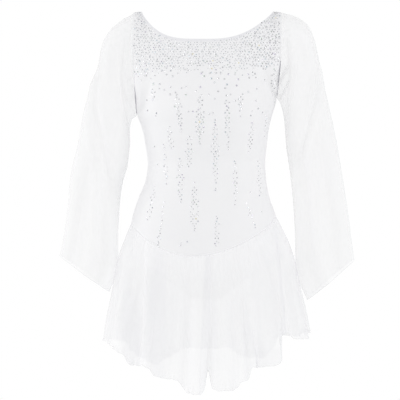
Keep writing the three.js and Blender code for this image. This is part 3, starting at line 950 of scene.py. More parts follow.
sleeve = {
    "wall": 0.45,
    "rings": 170,
    "columns": 208,
    "ringPower": 1.1,  # rings lie closer at the armhole than at the hem
    "proud": 0.2,  # how far the first ring stands outside the bodice's edge
    "leaves": 0.1,  # the share of the way down over which the sleeve leaves the armhole's shape
    "pinchTo": 0.035,
    "creasesFrom": 0.06,
    "cap": 2.0,  # how far the eased cap springs out beyond the armhole
    "capFull": 0.02,
    "capFades": (0.03, 0.12),
    "fine": 0.7,  # how deep the fine waves of the cloth are
    "fineFrom": 0.25,
    "fineLengths": (36, 60, 24),
    "fineRound": 0.9,
    "fineAlong": 40,
    "hemWide": 2.0,
    "hemThick": 1.1,
    "seamIn": 0.7,
    "seamWide": 2.2,
    "seamThick": 0.9,
}
sectionColumns = "along outX outDown inX inDown front back middle"
sleeveSections = {
    "negX": table(
        sectionColumns,
        [
            (0, 153, 3, 146.5, 212, 48, 57, 0),
            (0.1, 176, 17, 156, 226, 50, 56, 1),
            (0.2, 202, 38, 160, 240, 51, 55, 2),
            (0.3, 220, 70, 161, 256, 52, 55, 3),
            (0.4, 230, 118, 160, 275, 52, 54, 5),
            (0.5, 246, 168, 162, 297, 51, 53, 8),
            (0.6, 260, 218, 166, 325, 52, 53, 10),
            (0.7, 271, 278, 176, 359, 54, 55, 13),
            (0.8, 287, 344, 183, 405, 56, 58, 17),
            (0.9, 296, 430, 187, 485, 60, 62, 22),
            (0.95, 302, 472, 187, 537, 63, 65, 26),
            (1, 310, 512, 205, 588, 66, 68, 30),
        ],
    ),
    "posX": table(
        sectionColumns,
        [
            (0, 157, 3, 147, 174, 48, 57, 0),
            (0.1, 182, 9, 154, 191, 50, 56, 1),
            (0.2, 209, 25, 159.5, 209, 51, 55, 2),
            (0.3, 226, 56, 163, 231, 52, 55, 3),
            (0.4, 237, 104, 165, 256, 52, 54, 5),
            (0.5, 248, 157, 167, 283, 51, 53, 8),
            (0.6, 260, 210, 171, 313, 52, 53, 10),
            (0.7, 273, 270, 176, 347, 54, 55, 13),
            (0.8, 287, 348, 182, 400, 56, 58, 17),
            (0.9, 301, 440, 187, 485, 60, 62, 22),
            (0.95, 306, 480, 188, 544, 63, 65, 26),
            (1, 312, 521, 212, 606, 66, 68, 30),
        ],
    ),
}

# Creases of each sleeve, as lines on its surface from one share of the way to the hem to another:
# "round" is the angle from the outer line over the front, "half" the half width in degrees of it,
# "deep" how far the cloth goes in (a ridge is negative), and the last column how much painted shade
# it takes there, from 0 to 1, the shade in the folds where it lies over itself
sleeveCreaseColumns = "along0 round0 along1 round1 half deep dense"
sleeveCreases = {
    "negX": table(
        sleeveCreaseColumns,
        [
            (0.42, 20, 0.74, 128, 14, 9, 0.15),
            (0.48, 8, 0.8, 100, 12, -4, 0),
            (0.1, 60, 0.3, 150, 16, 6, 0.15),
            (0.06, 35, 0.34, 62, 14, -3, 0),
            (0.72, 75, 1, 55, 14, 6, 0.15),
            (0.7, 110, 1, 122, 13, 7, 0.15),
            (0.66, 40, 1, 28, 12, -4, 0),
            (0.8, 92, 1, 90, 10, -4, 0),
            (0.45, 320, 0.76, 230, 16, 8, 0.15),
            (0.12, 300, 0.32, 215, 18, 5, 0.15),
            (0.74, 290, 1, 305, 16, 7, 0.15),
            (0.78, 245, 1, 240, 14, 6, 0.15),
            (0.05, 118, 0.12, 98, 5, 1.6, 0.2),
            (0.08, 146, 0.16, 118, 6, 2, 0.2),
            (0.28, 165, 0.74, 165, 34, 1, 0.6),
            (0.06, 232, 0.13, 250, 8, 2.2, 0.6),
        ],
    ),
    "posX": table(
        sleeveCreaseColumns,
        [
            (0.4, 25, 0.66, 130, 14, 10, 0.15),
            (0.46, 12, 0.74, 98, 12, -4, 0),
            (0.08, 70, 0.26, 150, 15, 8, 0.15),
            (0.14, 44, 0.4, 70, 13, -3, 0),
            (0.2, 100, 0.36, 158, 12, 6, 0.15),
            (0.7, 70, 1, 62, 14, 6, 0.15),
            (0.68, 118, 1, 128, 13, 7, 0.15),
            (0.64, 38, 1, 34, 12, -4, 0),
            (0.8, 96, 1, 97, 10, -4, 0),
            (0.42, 315, 0.7, 235, 16, 8, 0.15),
            (0.1, 295, 0.3, 212, 18, 5, 0.15),
            (0.72, 285, 1, 300, 16, 7, 0.15),
            (0.045, 130, 0.11, 104, 8, 2.2, 1),
            (0.1, 154, 0.155, 122, 8, 2.6, 1),
            (0.3, 165, 0.62, 165, 30, 1, 0.5),
            (0.06, 236, 0.12, 250, 8, 2.2, 0.6),
        ],
    ),
}


creaseEnd = {"least": 0.01, "most": 0.08, "share": 0.35}  # how far a crease fades beyond its two ends


def sleeveCreaseFields(side, along, angle):
    # each crease is a Gaussian across its line, fading out past its two ends: the depths add up, and
    # the painted shade is that of the darkest
    deep = np.zeros(np.broadcast(along, angle).shape)
    dense = deep
    for crease in sleeveCreases[side]:
        length = crease["along1"] - crease["along0"]
        share = np.clip((along - crease["along0"]) / length, 0, 1)
        across = (angle - mix(crease["round0"], crease["round1"], share)) / crease["half"]
        fade = min(creaseEnd["most"], creaseEnd["least"] + creaseEnd["share"] * length)
        beyond = np.maximum(np.maximum(crease["along0"] - along, along - crease["along1"]), 0) / fade
        shape = np.exp(-across * across - beyond * beyond)
        deep = deep + crease["deep"] * shape
        dense = np.maximum(dense, crease["dense"] * shape)
    return deep, dense


def sleeveGrid(side):
    # each ring is a loop between its outer and its underarm point; the first lies on the armhole,
    # drawn in as the armhole is, and the next spring out a little with the ease of the cap
    sign = xSign[side]
    names = sectionColumns.split()[1:]
    along = (np.arange(sleeve["rings"] + 1) / sleeve["rings"])[:, None] ** sleeve["ringPower"]
    at = {name: curveThrough(sleeveSections[side], "along", name)(along) for name in names}
    turned = np.arange(sleeve["columns"]) * 360 / sleeve["columns"]
    angle = (turned if sign < 0 else (360 - turned) % 360)[None, :]
    inShare = (1 - np.cos(angle * degree)) / 2
    isFront = (angle > 0) & (angle < 180)
    depth = np.where(isFront, at["front"], at["back"]) * loopDepth(inShare)
    depth = depth * (1 - seamPinch(sign, inShare) * (1 - smoothStep(0, sleeve["pinchTo"], along)))
    down = mix(at["outDown"], at["inDown"], inShare)
    armholeX = sign * (halfWidthAt(sign, down) + sleeve["proud"])
    x = mix(armholeX, sign * mix(at["outX"], at["inX"], inShare), smoothStep(0, sleeve["leaves"], along))
    y = at["middle"] + np.where(isFront, -1, 1) * depth
    points = np.stack([x, y, -down], axis=-1)
    centre = [sign * (at["outX"] + at["inX"]) / 2, at["middle"], -(at["outDown"] + at["inDown"]) / 2]
    inward = unit(np.stack(np.broadcast_arrays(*centre, x)[:3], axis=-1) - points)
    slanting = angle * sleeve["fineRound"] + sleeve["fineAlong"] * along
    fine = sleeve["fine"] * ripple(slanting, sleeve["fineLengths"], seed=11 if sign < 0 else 12)
    creases, dense = sleeveCreaseFields(side, along, angle)
    deep = creases * smoothStep(0, sleeve["creasesFrom"], along)
    deep = deep + fine * smoothStep(0, sleeve["fineFrom"], along)
    cap = sleeve["cap"] * smoothStep(0, sleeve["capFull"], along)
    deep = deep - cap * (1 - smoothStep(*sleeve["capFades"], along))
    return points + inward * deep[..., None], dense


sleeveNames = {"negX": "sleeve_right", "posX": "sleeve_left"}
for side, name in sleeveNames.items():
    grid, dense = sleeveGrid(side)
    piece = wallObject(f"{name}_shell", grid, sleeve["wall"], wraps=True, paintedShadeShare=dense)
    finishPiece(piece, sleeveChiffon)
    hem = rolledHem(name, grid, sleeve, wraps=True)
    # the French seam down the inner line
    insideSeam(f"{name}_inner_seam", grid, sleeve["columns"] // 2, sleeve, wraps=True)
    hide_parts(name)
print("sleeves made")


# The overlocked seam where each sleeve meets its armhole, in a dark grey thread that paints the shade
# in the fold round the underarm as a dark line, from "from" of the way down in front to the same height
# behind
armholeSeam = {
    "from": {"negX": 0.74, "posX": 0.6},
    "wide": 3.8,
    "thick": 2.4,
    "outward": 1.3,
    "inward": 0.7,
    "centreAbove": 40,  # the seam faces away from a point this far above its mean height
    "ends": 0.12,  # the share of the way down over which it thins to its ends
    "endWidth": 0.4,
    "foot": (0.84, 0.92),  # it also thins round the underarm, between these shares of the way down
    "footWidth": 0.5,
}


def armholeSeamPath(side):
    # the sleeve's first ring, which is a loop from its top, kept where it lies low enough
    ring = sleeveGrid(side)[0][0]
    share = armholeShare(ring[:, 0], -ring[:, 2])
    low = np.nonzero(share > armholeSeam["from"][side])[0]
    ring = ring[low]
    share = share[low]
    outward = unit(ring * [0, 1, 1] - [0, 0, ring[:, 2].mean() + armholeSeam["centreAbove"]])
    sign = xSign[side]
    path = ring + outward * armholeSeam["outward"] - [sign * armholeSeam["inward"], 0, 0]
    thin = smoothStep(0, armholeSeam["ends"], share - armholeSeam["from"][side])
    thin = thin * (1 - armholeSeam["footWidth"] * smoothStep(*armholeSeam["foot"], share))
    return path, outward, armholeSeam["endWidth"] + (1 - armholeSeam["endWidth"]) * thin


for side, name in sleeveNames.items():
    path, outward, taper = armholeSeamPath(side)
    wide = armholeSeam["wide"] * taper
    seam = tubeObject(f"{name}_seam", path, outward, wide, armholeSeam["thick"] * taper)
    finishPiece(seam, paintedShadowThread)
print("armhole seams made")


briefs = {
    "crotchDown": 604,
    "crotchHalfWidth": 32,
    "crotchTurn": 20 * degree,
    "legSideDown": 512,
    "legSideHalfWidth": 163,
    "legDepth": {"front": 74, "back": 88},
    # powers of the share of the way from the crotch to the side by which the leg line runs
    "acrossPower": 1.15,
    "depthPower": 0.8,
    "risePower": 0.85,
    "bend": (0.4, 0.08, 0.88),  # how far x, depth and height go towards the leg line at the bend
    "leastDepth": 0.05,
    "inset": 1.4,
    "wall": 0.8,
    "columns": 110,
    "rows": 44,
    "rowPower": 0.8,
    "hemStep": (7.5, 9.5),  # the turned leg hem steps down between these distances from the edge
    "hemEnds": 0.05,
    "hemProud": 0.3,
    # how far the turned leg hem takes the painted shade tone, from 0 to 1
    "hemTone": 0.15,
}


def briefPanel(face):
    # each column is a parabola, (1 - t)^2 start + 2t(1 - t) bend + t^2 end, from just inside the drop
    # seam to the leg line or the crotch seam, with a turned hem along the leg line
    sign = ySign[face]
    turns = np.linspace(-math.pi / 2, math.pi / 2, briefs["columns"] + 1)
    start = torsoPoint(face, turns, bottomDown(face, turns))
    inward = np.stack([-np.sin(turns), -sign * np.cos(turns), 0 * turns], axis=-1)
    start = start + inward * briefs["inset"]
    start[:, 1] = sign * np.maximum(sign * start[:, 1], briefs["leastDepth"])
    away = np.maximum(np.abs(turns) - briefs["crotchTurn"], 0) / (math.pi / 2 - briefs["crotchTurn"])
    middle = np.clip(turns / briefs["crotchTurn"], -1, 1)
    across = away ** briefs["acrossPower"]
    deep = np.sin(math.pi * away).clip(0) ** briefs["depthPower"]
    legX = np.sign(turns) * (briefs["legSideHalfWidth"] - briefs["crotchHalfWidth"]) * across
    legY = sign * (briefs["leastDepth"] + briefs["legDepth"][face] * deep)
    legZ = -mix(briefs["crotchDown"], briefs["legSideDown"], away ** briefs["risePower"])
    end = np.stack([middle * briefs["crotchHalfWidth"] + legX, legY, legZ], axis=-1)
    bend = mix(start, end, np.array(briefs["bend"]))
    t = (np.linspace(0, 1, briefs["rows"] + 1) ** briefs["rowPower"])[:, None, None]
    points = (1 - t) ** 2 * start + 2 * t * (1 - t) * bend + t * t * end
    toEnd = np.linalg.norm(points - end, axis=-1)
    hemmed = (1 - smoothStep(*briefs["hemStep"], toEnd)) * smoothStep(0, briefs["hemEnds"], away)
    if face == "back":
        points = points[:, ::-1]
        hemmed = hemmed[:, ::-1]
    normals = gridNormals(points)
    return points + normals * (briefs["hemProud"] * hemmed)[..., None], normals, hemmed


for face, flat, area in (("front", (0.36, 0.17), 0.036), ("back", (0.38, 0.19), 0.041)):
    points, normals, hemmed = briefPanel(face)
    piece = wallObject(f"brief_{face}_shell", points, briefs["wall"], paintedShadeShare=briefs["hemTone"] * hemmed)
    finishPiece(piece, briefLycra)
    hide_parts(f"brief_{face}")
print("briefs made")


# Stitches in millimetres: small capsules laid along a line on the cloth, half sunk into it
stitch = {
    "apart": 3.4,
    "long": 2.5,
    "wide": 0.5,
    "high": 0.4,
    "fromNeck": 2.2,
    "fromDrop": 2.6,
    "fromLeg": 7.2,
    "samples": 300,
    "neckReach": 0.985,  # how far round the rows run, as shares of the neck and of the drop seam
    "dropReach": 0.98,
    "legClear": 2,  # degrees kept free at the crotch and at the side seam
}


def stitchTemplate():
    # a point, three rings of six and a point, along the first axis
    sides = 6
    turns = np.arange(sides) * 2 * math.pi / sides
    rings = [
        np.stack([along + 0 * turns, radius * np.cos(turns), radius * np.sin(turns)], axis=-1)
        for along, radius in ((-0.36, 0.4), (0, 0.5), (0.36, 0.4))
    ]
    vertices = np.concatenate(rings + [[[-0.5, 0, 0]], [[0.5, 0, 0]]])
    i = np.arange(sides)
    j = (i + 1) % sides
    tips = 3 * sides + 0 * i
    corners = [(j, i, tips), (2 * sides + i, 2 * sides + j, tips + 1)]
    for start in (0, sides):
        corners.append((start + i, start + j, start + sides + j))
        corners.append((start + i, start + sides + j, start + sides + i))
    return vertices, np.concatenate([np.stack(corner, axis=-1) for corner in corners])


def alongPath(at, lengths, field):
    # the rows of a field on a path, at given distances along it
    return np.stack([np.interp(at, lengths, column) for column in field.T], axis=-1)


def stitchRows(name, rows):
    # each row is a path and its normals; the stitches lie along it at even distances
    middles = []
    for path, normals in rows:
        lengths = runningLengths(np.linalg.norm(np.diff(path, axis=0), axis=1))
        at = np.arange(stitch["apart"] / 2, lengths[-1], stitch["apart"])
        run = unit(alongPath(at + 0.5, lengths, path) - alongPath(at - 0.5, lengths, path))
        outward = unit(alongPath(at, lengths, normals))
        middles.append(np.stack([alongPath(at, lengths, path), run, outward]))
    place, along, normal = np.concatenate(middles, axis=1)
    vertices, faces = stitchTemplate()
    size = [stitch["long"], stitch["wide"], stitch["high"]]
    made = manyObject(name, vertices, faces, place, along, np.cross(normal, along), normal, size)
    finishPiece(made, sewingThread)


# The shape of a rhinestone whose radius is 1, and how it is set
stone = {
    "sides": 8,
    "midRadius": 0.8,
    "midHeight": 0.26,
    "tableRadius": 0.48,
    "tableHeight": 0.42,
    "lift": 0.04,  # millimetres off the cloth
    "tilt": 0.1,  # how far it leans by chance, in radians or so
}
# Rhinestones in millimetres across, with how common each size is
stoneSizes = {
    "yoke": table("across share", [(2.7, 0.35), (3.1, 0.4), (3.6, 0.25)]),
    "drips": table("across share", [(3.4, 0.35), (4.0, 0.65)]),
}
# Tones of the foil seen through the glass, with how common each is and how deep the painted shade on its
# shaded side gets
stoneTones = table(
    "colour share dark",
    [
        ("#f9f9fc", 0.52, 0.62),
        ("#f1f3f6", 0.28, 0.62),
        ("#dfe2e8", 0.05, 0.66),
        ("#e6eff5", 0.06, 0.62),
        ("#e8f0eb", 0.05, 0.62),
        ("#eae6f3", 0.035, 0.62),
        ("#fdf5d6", 0.005, 0.5),
    ],
)

# A facet takes a painted shade with the cosine of its angle to its stone's shaded side
facet = {
    "darkFrom": 0.1,  # the cosine at which it starts to darken
    "darkFull": 1.1,
    "narrower": 0.7,  # how much later it starts for each 1 of added contrast
    "sideSpread": 0.8,  # chance in the direction of the shaded side, in radians
    "leanSpread": 0.35,  # and in each facet's cosine
    # painted glints: a level for each stone's tone, with how common each is
    "glints": table("level share", [(1, 0.5), (0.96, 0.44), (0.86, 0.06)]),
    "darkest": 0.03,
}

# Drips of stones: distance across and down at the top and at the bottom of each, how many stones
# wide it is at its widest, and the share of the way down where that is
drips = table(
    "topX topDown endX endDown wide peak",
    [
        (-111, 158, -111, 196, 1.6, 0.6),
        (-106, 212, -104, 232, 1, 0.5),
        (-64, 164, -51, 262, 2.2, 0.4),
        (-79, 240, -70, 300, 2, 0.6),
        (-89, 272, -82, 372, 1.4, 0.5),
        (-36, 256, -36, 336, 1.9, 0.5),
        (-55, 300, -54, 412, 2.2, 0.4),
        (-13, 166, -15, 286, 2.8, 0.55),
        (17, 226, 18, 388, 2.6, 0.45),
        (41, 172, 44, 298, 2, 0.5),
        (71, 174, 68, 240, 1.5, 0.3),
        (95, 226, 88, 300, 1.8, 0.6),
        (58, 306, 60, 418, 1.5, 0.4),
        (107, 306, 111, 404, 1.2, 0.4),
        (125, 212, 121, 268, 1, 0.5),
        (-105, 356, -124, 446, 1.7, 0.8),
        (-87, 400, -102, 494, 1.4, 0.75),
        (-25, 360, -25, 462, 2.8, 0.6),
        (21, 420, 21, 496, 2.2, 0.6),
        (-53, 480, -53, 494, 1, 0.5),
        (78, 392, 104, 462, 1.5, 0.6),
    ],
)
drip = {
    "apart": 5.0,
    "beside": 7.2,
    "loose": 0.55,
    "missing": 0.1,
    "full": 0.8,
    "fullPower": 0.6,
    "unsure": (-0.2, 0.25),  # chance adds between these to how many stones wide a row is
    "one": {"odd": 0.62, "even": 0.2},  # the least width for one stone in a row, odd or even
    "two": 1,
    "three": 1.7,
    "lean": {"odd": 0.22, "even": -0.08},  # how far a lone stone lies to +X, as a share of "beside"
    "sizes": (1.1, 0.84),  # the stones shrink from one to the other between the distances down
    "sizeDown": (160, 300),
}
# Stones scattered by chance over the top of the drips: "clear" is their least distance from another
scatter = {"tries": 62, "halfWidth": 124, "top": 134, "bottom": 222, "power": 1.1, "clear": 6.5}
# Stones set alone between the yoke and the drips
singles = table(
    "x down",
    [
        (-33, 74),
        (-7, 108),
        (-18, 112),
        (45, 137),
        (-13, 164),
        (4, 180),
        (-97, 157),
        (-124, 189),
        (62, 160),
        (-45, 128),
        (24, 146),
        (88, 143),
        (104, 166),
        (-70, 141),
        (-92, 128),
        (33, 122),
        (90, 380),
        (-40, 482),
        (114, 420),
        (-108, 285),
        (-102, 322),
    ],
)
yoke = {
    "apart": 6.25,
    "rows": 0.87,  # rows are this share of "apart" from each other
    "jitter": 0.15,
    "halfWidth": 156,
    "deepest": 210,
    "edge": {"front": 4.0, "back": 6.0},  # how far the stones stay from the neck's edge in the middle
    "edgeSide": {"negX": 2.4, "posX": -2.2},  # and how much more at each side
    "edgeSideFrom": (0.2, 0.7),  # shares of the half width, as the other two that say "from" are
    "strapEdge": 1.2,
    "strapEdgeFrom": (0.78, 0.92),
    "sideEdge": 2.5,
    "lower": {"front": 109, "back": 128},
    "lowerTilt": 3,
    "sideDrop": {"front": 20, "back": 0},  # how much lower they reach on -X
    "sideDropFrom": (0.5, 0.8),
    "fade": 34,
    "fadePower": 1.2,
    "band": (19, 11),  # the band beside the armhole fades in between these distances from it
    "bandEnd": (172, 200),
    "bandChance": 0.8,
    "strap": (60, 115),  # the stones get larger and their painted shade stronger between these distances to +X
    "strapSize": 1.2,
    "strapContrast": 1.5,
}


def stoneTemplate():
    # rings about the axis: the flat back, a ring half a side round from it, and the table
    sides = stone["sides"]
    even = np.arange(sides) * 2 * math.pi / sides
    rings = [
        np.stack([radius * np.cos(turns), radius * np.sin(turns), height + 0 * turns], axis=-1)
        for radius, height, turns in (
            (1, 0, even),
            (stone["midRadius"], stone["midHeight"], even + math.pi / sides),
            (stone["tableRadius"], stone["tableHeight"], even),
        )
    ]
    vertices = np.concatenate(rings + [[[0, 0, 0]], [[0, 0, stone["tableHeight"]]]])
    i = np.arange(sides)
    j = (i + 1) % sides
    axis = 0 * i + 3 * sides
    corners = [(i, j, sides + i), (sides + i, j, sides + j), (sides + i, 2 * sides + j, 2 * sides + i)]
    corners += [(sides + i, sides + j, 2 * sides + j), (j, i, axis), (2 * sides + i, 2 * sides + j, axis + 1)]
    return vertices, np.concatenate([np.stack(corner, axis=-1) for corner in corners])


def panelSurface(face, x, down):
    # a point on the front or back panel and its outward normal, the cross product of a step across
    # and a step down
    turn = np.arcsin(np.clip(x / halfWidthAt(x, down), -0.999, 0.999))
    step = 0.5
    turnStep = step / 150  # about as far round the body
    here = torsoPoint(face, turn, down)
    across = torsoPoint(face, turn + turnStep, down) - torsoPoint(face, turn - turnStep, down)
    downward = torsoPoint(face, turn, down + step) - torsoPoint(face, turn, down - step)
    normal = unit(np.cross(downward, across)) * -ySign[face]
    out = creaseField(bodiceCreases[face], here[..., 0], down)
    return here + normal * out[..., None], normal


def neckRow(face):
    # a line on the panel at an even distance from the neck's edge
    turn = np.linspace(-stitch["neckReach"], stitch["neckReach"], stitch["samples"]) * neckTurn
    edge = np.stack([halfWidthAt(turn, 0 * turn) * np.sin(turn), topDown(face, turn)], axis=-1)
    run = unit(np.gradient(edge, axis=0))
    x, down = (edge + stitch["fromNeck"] * np.stack([-run[:, 1], run[:, 0]], axis=-1)).T
    path, normals = panelSurface(face, x, down)
    return path + bodice["edgeProud"] * normals, normals


def dropRow(face):
    turn = np.linspace(-stitch["dropReach"], stitch["dropReach"], stitch["samples"]) * math.pi / 2
    down = bottomDown(face, turn) - stitch["fromDrop"]
    return panelSurface(face, halfWidthAt(turn, down) * np.sin(turn), down)


def legRows(face):
    # each column of the briefs' panel where it is a stitch line's distance from its leg edge
    points, normals = briefPanel(face)[:2]
    toEnd = np.linalg.norm(points - points[-1], axis=-1)
    turns = np.linspace(-90, 90, briefs["columns"] + 1)
    first = briefs["crotchTurn"] / degree + stitch["legClear"]
    last = 90 - stitch["legClear"]
    rows = []
    for side in (-1, 1):
        columns = np.nonzero((side * turns > first) & (side * turns < last))[0]
        row = [
            np.array([alongPath(-stitch["fromLeg"], -toEnd[:, i], field[:, i]) for i in columns])
            for field in (points, normals)
        ]
        rows.append(row)
    return rows


for face in ("front", "back"):
    stitchRows(f"bodice_{face}_stitches", [neckRow(face), dropRow(face)])
    stitchRows(f"brief_{face}_stitches", legRows(face))
print("stitches made")


def facetTintsAndPaintedLight(random, count, middles, contrast):
    # a facet takes the deepest painted shade when it leans towards its stone's shaded side, which is mostly
    # the lower one: more contrast makes that side deeper and narrower
    shares = columnOf(stoneTones, "share")
    pick = random.choice(len(stoneTones), count, p=shares / shares.sum())
    base = np.array([colour(row["colour"])[:3] for row in stoneTones])[pick]
    dark = columnOf(stoneTones, "dark")[pick]
    shadedSide = -math.pi / 2 + random.normal(0, facet["sideSpread"], count)
    chance = random.normal(0, facet["leanSpread"], (count, len(middles)))
    lean = np.cos(middles[None] - shadedSide[:, None]) + chance
    darkFrom = facet["darkFrom"] + facet["narrower"] * (contrast - 1)
    level = 1 - (contrast * dark)[:, None] * smoothStep(darkFrom[:, None], facet["darkFull"], lean)
    glints = facet["glints"]
    glint = random.choice(columnOf(glints, "level"), count, p=columnOf(glints, "share"))
    return np.clip(base[:, None] * (level * glint[:, None])[..., None], facet["darkest"], 1)


def stonesObject(name, face, x, down, size, contrast, seed):
    random = np.random.default_rng(seed)
    count = len(x)
    place, normal = panelSurface(face, x, down)
    normal = unit(normal + random.normal(0, stone["tilt"], (count, 3)))
    first = unit(np.cross([0, 0, 1.0], normal))
    second = np.cross(normal, first)
    spin = random.uniform(0, 2 * math.pi, count)
    sideA = first * np.cos(spin)[:, None] + second * np.sin(spin)[:, None]
    vertices, faces = stoneTemplate()
    place = place + stone["lift"] * normal
    radius = (size / 2)[:, None]
    made = manyObject(name, vertices, faces, place, sideA, np.cross(normal, sideA), normal, radius)
    middles = vertices[faces].mean(axis=1)
    leaning = np.arctan2(middles[:, 1], middles[:, 0])
    tones = facetTintsAndPaintedLight(random, count, leaning, contrast)
    # the table takes one even tone
    isTable = np.arange(len(faces)) >= 5 * stone["sides"]
    tones[:, isTable] = tones[:, isTable].mean(axis=1, keepdims=True)
    tones = np.concatenate([tones, np.ones((*tones.shape[:2], 1))], axis=2)
    corners = np.repeat(tones.reshape(-1, 4), 3, axis=0)
    attribute = made.data.color_attributes.new("facetTintAndPaintedLight", "FLOAT_COLOR", "CORNER")
    attribute.data.foreach_set("color", corners.astype(np.float32).ravel())
    finishPiece(made, foiledGlass)


def pickSizes(random, kind, count):
    rows = stoneSizes[kind]
    return random.choice(columnOf(rows, "across"), count, p=columnOf(rows, "share"))


def yokeStones(face, seed):
    # staggered rows loosened as by hand, from the turned edge down to a level line, thinning out below
    # it, with a band that runs on down beside the armhole on +X. The rows lie at even steps along
    # the cloth, from the shoulder down
    random = np.random.default_rng(seed)
    apart = yoke["apart"]
    levels = np.linspace(0, yoke["deepest"], 2 * yoke["deepest"] + 1)
    lengths = runningLengths(np.hypot(np.diff(levels), np.diff(torsoAt[face](levels))))
    rows = np.interp(np.arange(apart, lengths[-1], apart * yoke["rows"]), lengths, levels)
    x, down = np.meshgrid(np.arange(-yoke["halfWidth"], yoke["halfWidth"] + 1, apart), rows)
    loose = apart * yoke["jitter"]
    x = x + (np.arange(len(x))[:, None] % 2) * apart / 2 + loose * random.normal(size=x.shape)
    steep = np.gradient(levels, lengths)
    down = down + loose * random.normal(size=x.shape) * np.interp(down, levels, steep)
    halfWidth = halfWidthAt(x, down)
    turn = np.arcsin(np.clip(x / halfWidth, -1, 1))
    lower = yoke["lower"][face] + yoke["lowerTilt"] * np.sin(turn)
    lower = lower + yoke["sideDrop"][face] * smoothStep(*yoke["sideDropFrom"], -np.sin(turn))
    chance = (1 - smoothStep(0, yoke["fade"], down - lower)) ** yoke["fadePower"]
    inBand = smoothStep(*yoke["band"], halfWidth - x) * (face == "front")
    chance = np.maximum(chance, yoke["bandChance"] * inBand * (1 - smoothStep(*yoke["bandEnd"], down)))
    side = np.abs(np.sin(turn))
    bare = yoke["edge"][face] + bySide(x, yoke["edgeSide"]) * smoothStep(*yoke["edgeSideFrom"], side)
    bare = mix(bare, yoke["strapEdge"], smoothStep(*yoke["strapEdgeFrom"], side))
    inside = (down > topDown(face, turn) + bare) & (np.abs(x) < halfWidth - yoke["sideEdge"])
    keep = (random.uniform(size=x.shape) < chance) & inside
    return x[keep], down[keep]


def dripStones(rows, seed):
    # staggered rows of one to three stones down each drip, fewer towards its ends, some left out
    random = np.random.default_rng(seed)
    xs = []
    downs = []
    for row in rows:
        levels = np.arange(0, row["endDown"] - row["topDown"], drip["apart"])
        share = levels / (row["endDown"] - row["topDown"])
        toPeak = np.where(share < row["peak"], share / row["peak"], (1 - share) / (1 - row["peak"]))
        chance = random.uniform(*drip["unsure"], len(levels))
        wanted = row["wide"] * toPeak ** drip["fullPower"] * drip["full"] + chance
        # even rows hold one or three stones and odd rows two, where there is room for them
        isOdd = np.arange(len(levels)) % 2 == 1
        inOdd = np.where(wanted > drip["two"], 2, wanted > drip["one"]["odd"])
        inEven = np.where(wanted > drip["three"], 3, wanted > drip["one"]["even"])
        counts = np.where(isOdd, inOdd, inEven)
        lean = np.where(isOdd, drip["lean"]["odd"], drip["lean"]["even"]) * drip["beside"]
        lean = np.where(counts == 1, lean, 0)
        level = np.repeat(np.arange(len(levels)), counts)
        place = np.concatenate([np.arange(count) - (count - 1) / 2 for count in counts])
        loose = random.normal(0, drip["loose"], (2, len(level)))
        keep = random.uniform(size=len(level)) > drip["missing"]
        across = mix(row["topX"], row["endX"], share[level]) + place * drip["beside"]
        xs.append((across + lean[level] + loose[0])[keep])
        downs.append((row["topDown"] + levels[level] + loose[1])[keep])
    return np.concatenate(xs), np.concatenate(downs)


def scatteredStones(x, down, seed):
    # the stones so far, and new ones tried one by one, more often near the top
    random = np.random.default_rng(seed)
    for across, share in random.uniform(size=(scatter["tries"], 2)):
        newX = (2 * across - 1) * scatter["halfWidth"]
        newDown = mix(scatter["top"], scatter["bottom"], share ** scatter["power"])
        if np.hypot(x - newX, down - newDown).min() > scatter["clear"]:
            x = np.append(x, newX)
            down = np.append(down, newDown)
    return x, down


for face, seed in (("front", 21), ("back", 25)):
    x, down = yokeStones(face, seed)
    onStrap = smoothStep(*yoke["strap"], x)
    size = pickSizes(np.random.default_rng(seed + 1), "yoke", len(x))
    size = size * mix(1, yoke["strapSize"], onStrap)
    contrast = mix(1, yoke["strapContrast"], onStrap)
    stonesObject(f"yoke_stones_{face}", face, x, down, size, contrast, seed + 2)
    print(f"{face} yoke stones", len(x))
x, down = dripStones(drips, 31)
x = np.concatenate([x, columnOf(singles, "x")])
down = np.concatenate([down, columnOf(singles, "down")])
x, down = scatteredStones(x, down, 34)
size = pickSizes(np.random.default_rng(33), "drips", len(x))
size = size * mix(*drip["sizes"], smoothStep(*drip["sizeDown"], down))
stonesObject("drip_stones_front", "front", x, down, size, np.ones(len(x)), 32)
print("drip stones", len(x))


studio = {
    "floorDown": 1360,
    "floorRadius": 3000,
    "floorThick": 20,
    "roomLight": 0.83,
    "backdrop": 1.0,
    "away": 5.0,  # the camera's distance and place to +X in metres
    "sideways": -0.0137,
    "across": 0.84,  # how many metres it sees from side to side at the dress
    "sensor": 36,
}
# Round lights aimed at the dress: place and diameter in metres, power in watts
lights = table(
    "name place size power",
    [
        ("key_light", (-3.4, -1.9, 0.5), 1.6, 15),
        ("fill_light", (3.4, -1.7, 0.3), 1.8, 18),
        ("left_strip", (-3.6, 0.2, 0.0), 1.2, 11),
        ("front_light", (0.3, -4.2, 0.4), 1.6, 4),
    ],
)

floorMaterial, tree = newMaterial("matt_white_floor")
paint = {"Base Color": colour("#f2f2f2"), "Roughness": 0.9}
outputShader(tree, addNode(tree, "ShaderNodeBsdfPrincipled", inputs=paint))
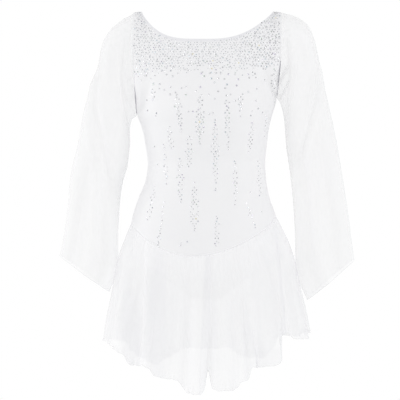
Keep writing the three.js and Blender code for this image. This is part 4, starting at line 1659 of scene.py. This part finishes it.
# a disc of rings about its middle, with x = r cos(turn) and y = r sin(turn)
turns = np.arange(96) * 2 * math.pi / 96
radii = np.array([[1.0], [0.7], [0.3], [0.0003]]) * studio["floorRadius"]
level = 0 * radii * turns - studio["floorDown"]
disc = np.stack([radii * np.cos(turns), radii * np.sin(turns), level], axis=-1)
floor = wallObject("studio_floor", disc, studio["floorThick"], wraps=True)
floor.data.materials.append(floorMaterial)

low, high = cadBox
middle = (low + high) / 2
for row in lights:
    lamp = bpy.data.lights.new(row["name"], "AREA")
    lamp.shape = "DISK"
    lamp.size = row["size"]
    lamp.energy = row["power"]
    made = bpy.data.objects.new(row["name"], lamp)
    made.location = row["place"]
    made.rotation_euler = (middle - Vector(row["place"])).to_track_quat("-Z", "Y").to_euler()
    bpy.context.scene.collection.objects.link(made)

world = bpy.data.worlds.new("white_studio")
world.use_nodes = True
tree = world.node_tree
tree.nodes.clear()
seen = addNode(tree, "ShaderNodeLightPath")
room, backdrop = [
    addNode(tree, "ShaderNodeBackground", inputs={"Color": (1, 1, 1, 1), "Strength": studio[part]})
    for part in ("roomLight", "backdrop")
]
both = addNode(
    tree,
    "ShaderNodeMixShader",
    inputs={
        0: seen.outputs["Is Camera Ray"],
        1: room.outputs["Background"],
        2: backdrop.outputs["Background"],
    },
)
addNode(tree, "ShaderNodeOutputWorld", inputs={"Surface": both.outputs["Shader"]})
scene = bpy.context.scene
scene.world = world
scene.view_settings.view_transform = "Standard"
scene.view_settings.look = "None"
# light has to pass many sheer layers and bounce between their white faces
scene.cycles.transparent_max_bounces = 32
scene.cycles.max_bounces = 20
scene.cycles.diffuse_bounces = 14

lens = bpy.data.cameras.new("camera")
lens.sensor_width = studio["sensor"]
lens.lens = studio["sensor"] * studio["away"] / studio["across"]
lens.clip_end = 50
camera = bpy.data.objects.new("camera", lens)
camera.location = (studio["sideways"], -studio["away"], middle.z)
camera.rotation_euler = (math.pi / 2, 0, 0)
scene.collection.objects.link(camera)
scene.camera = camera
print("studio made")
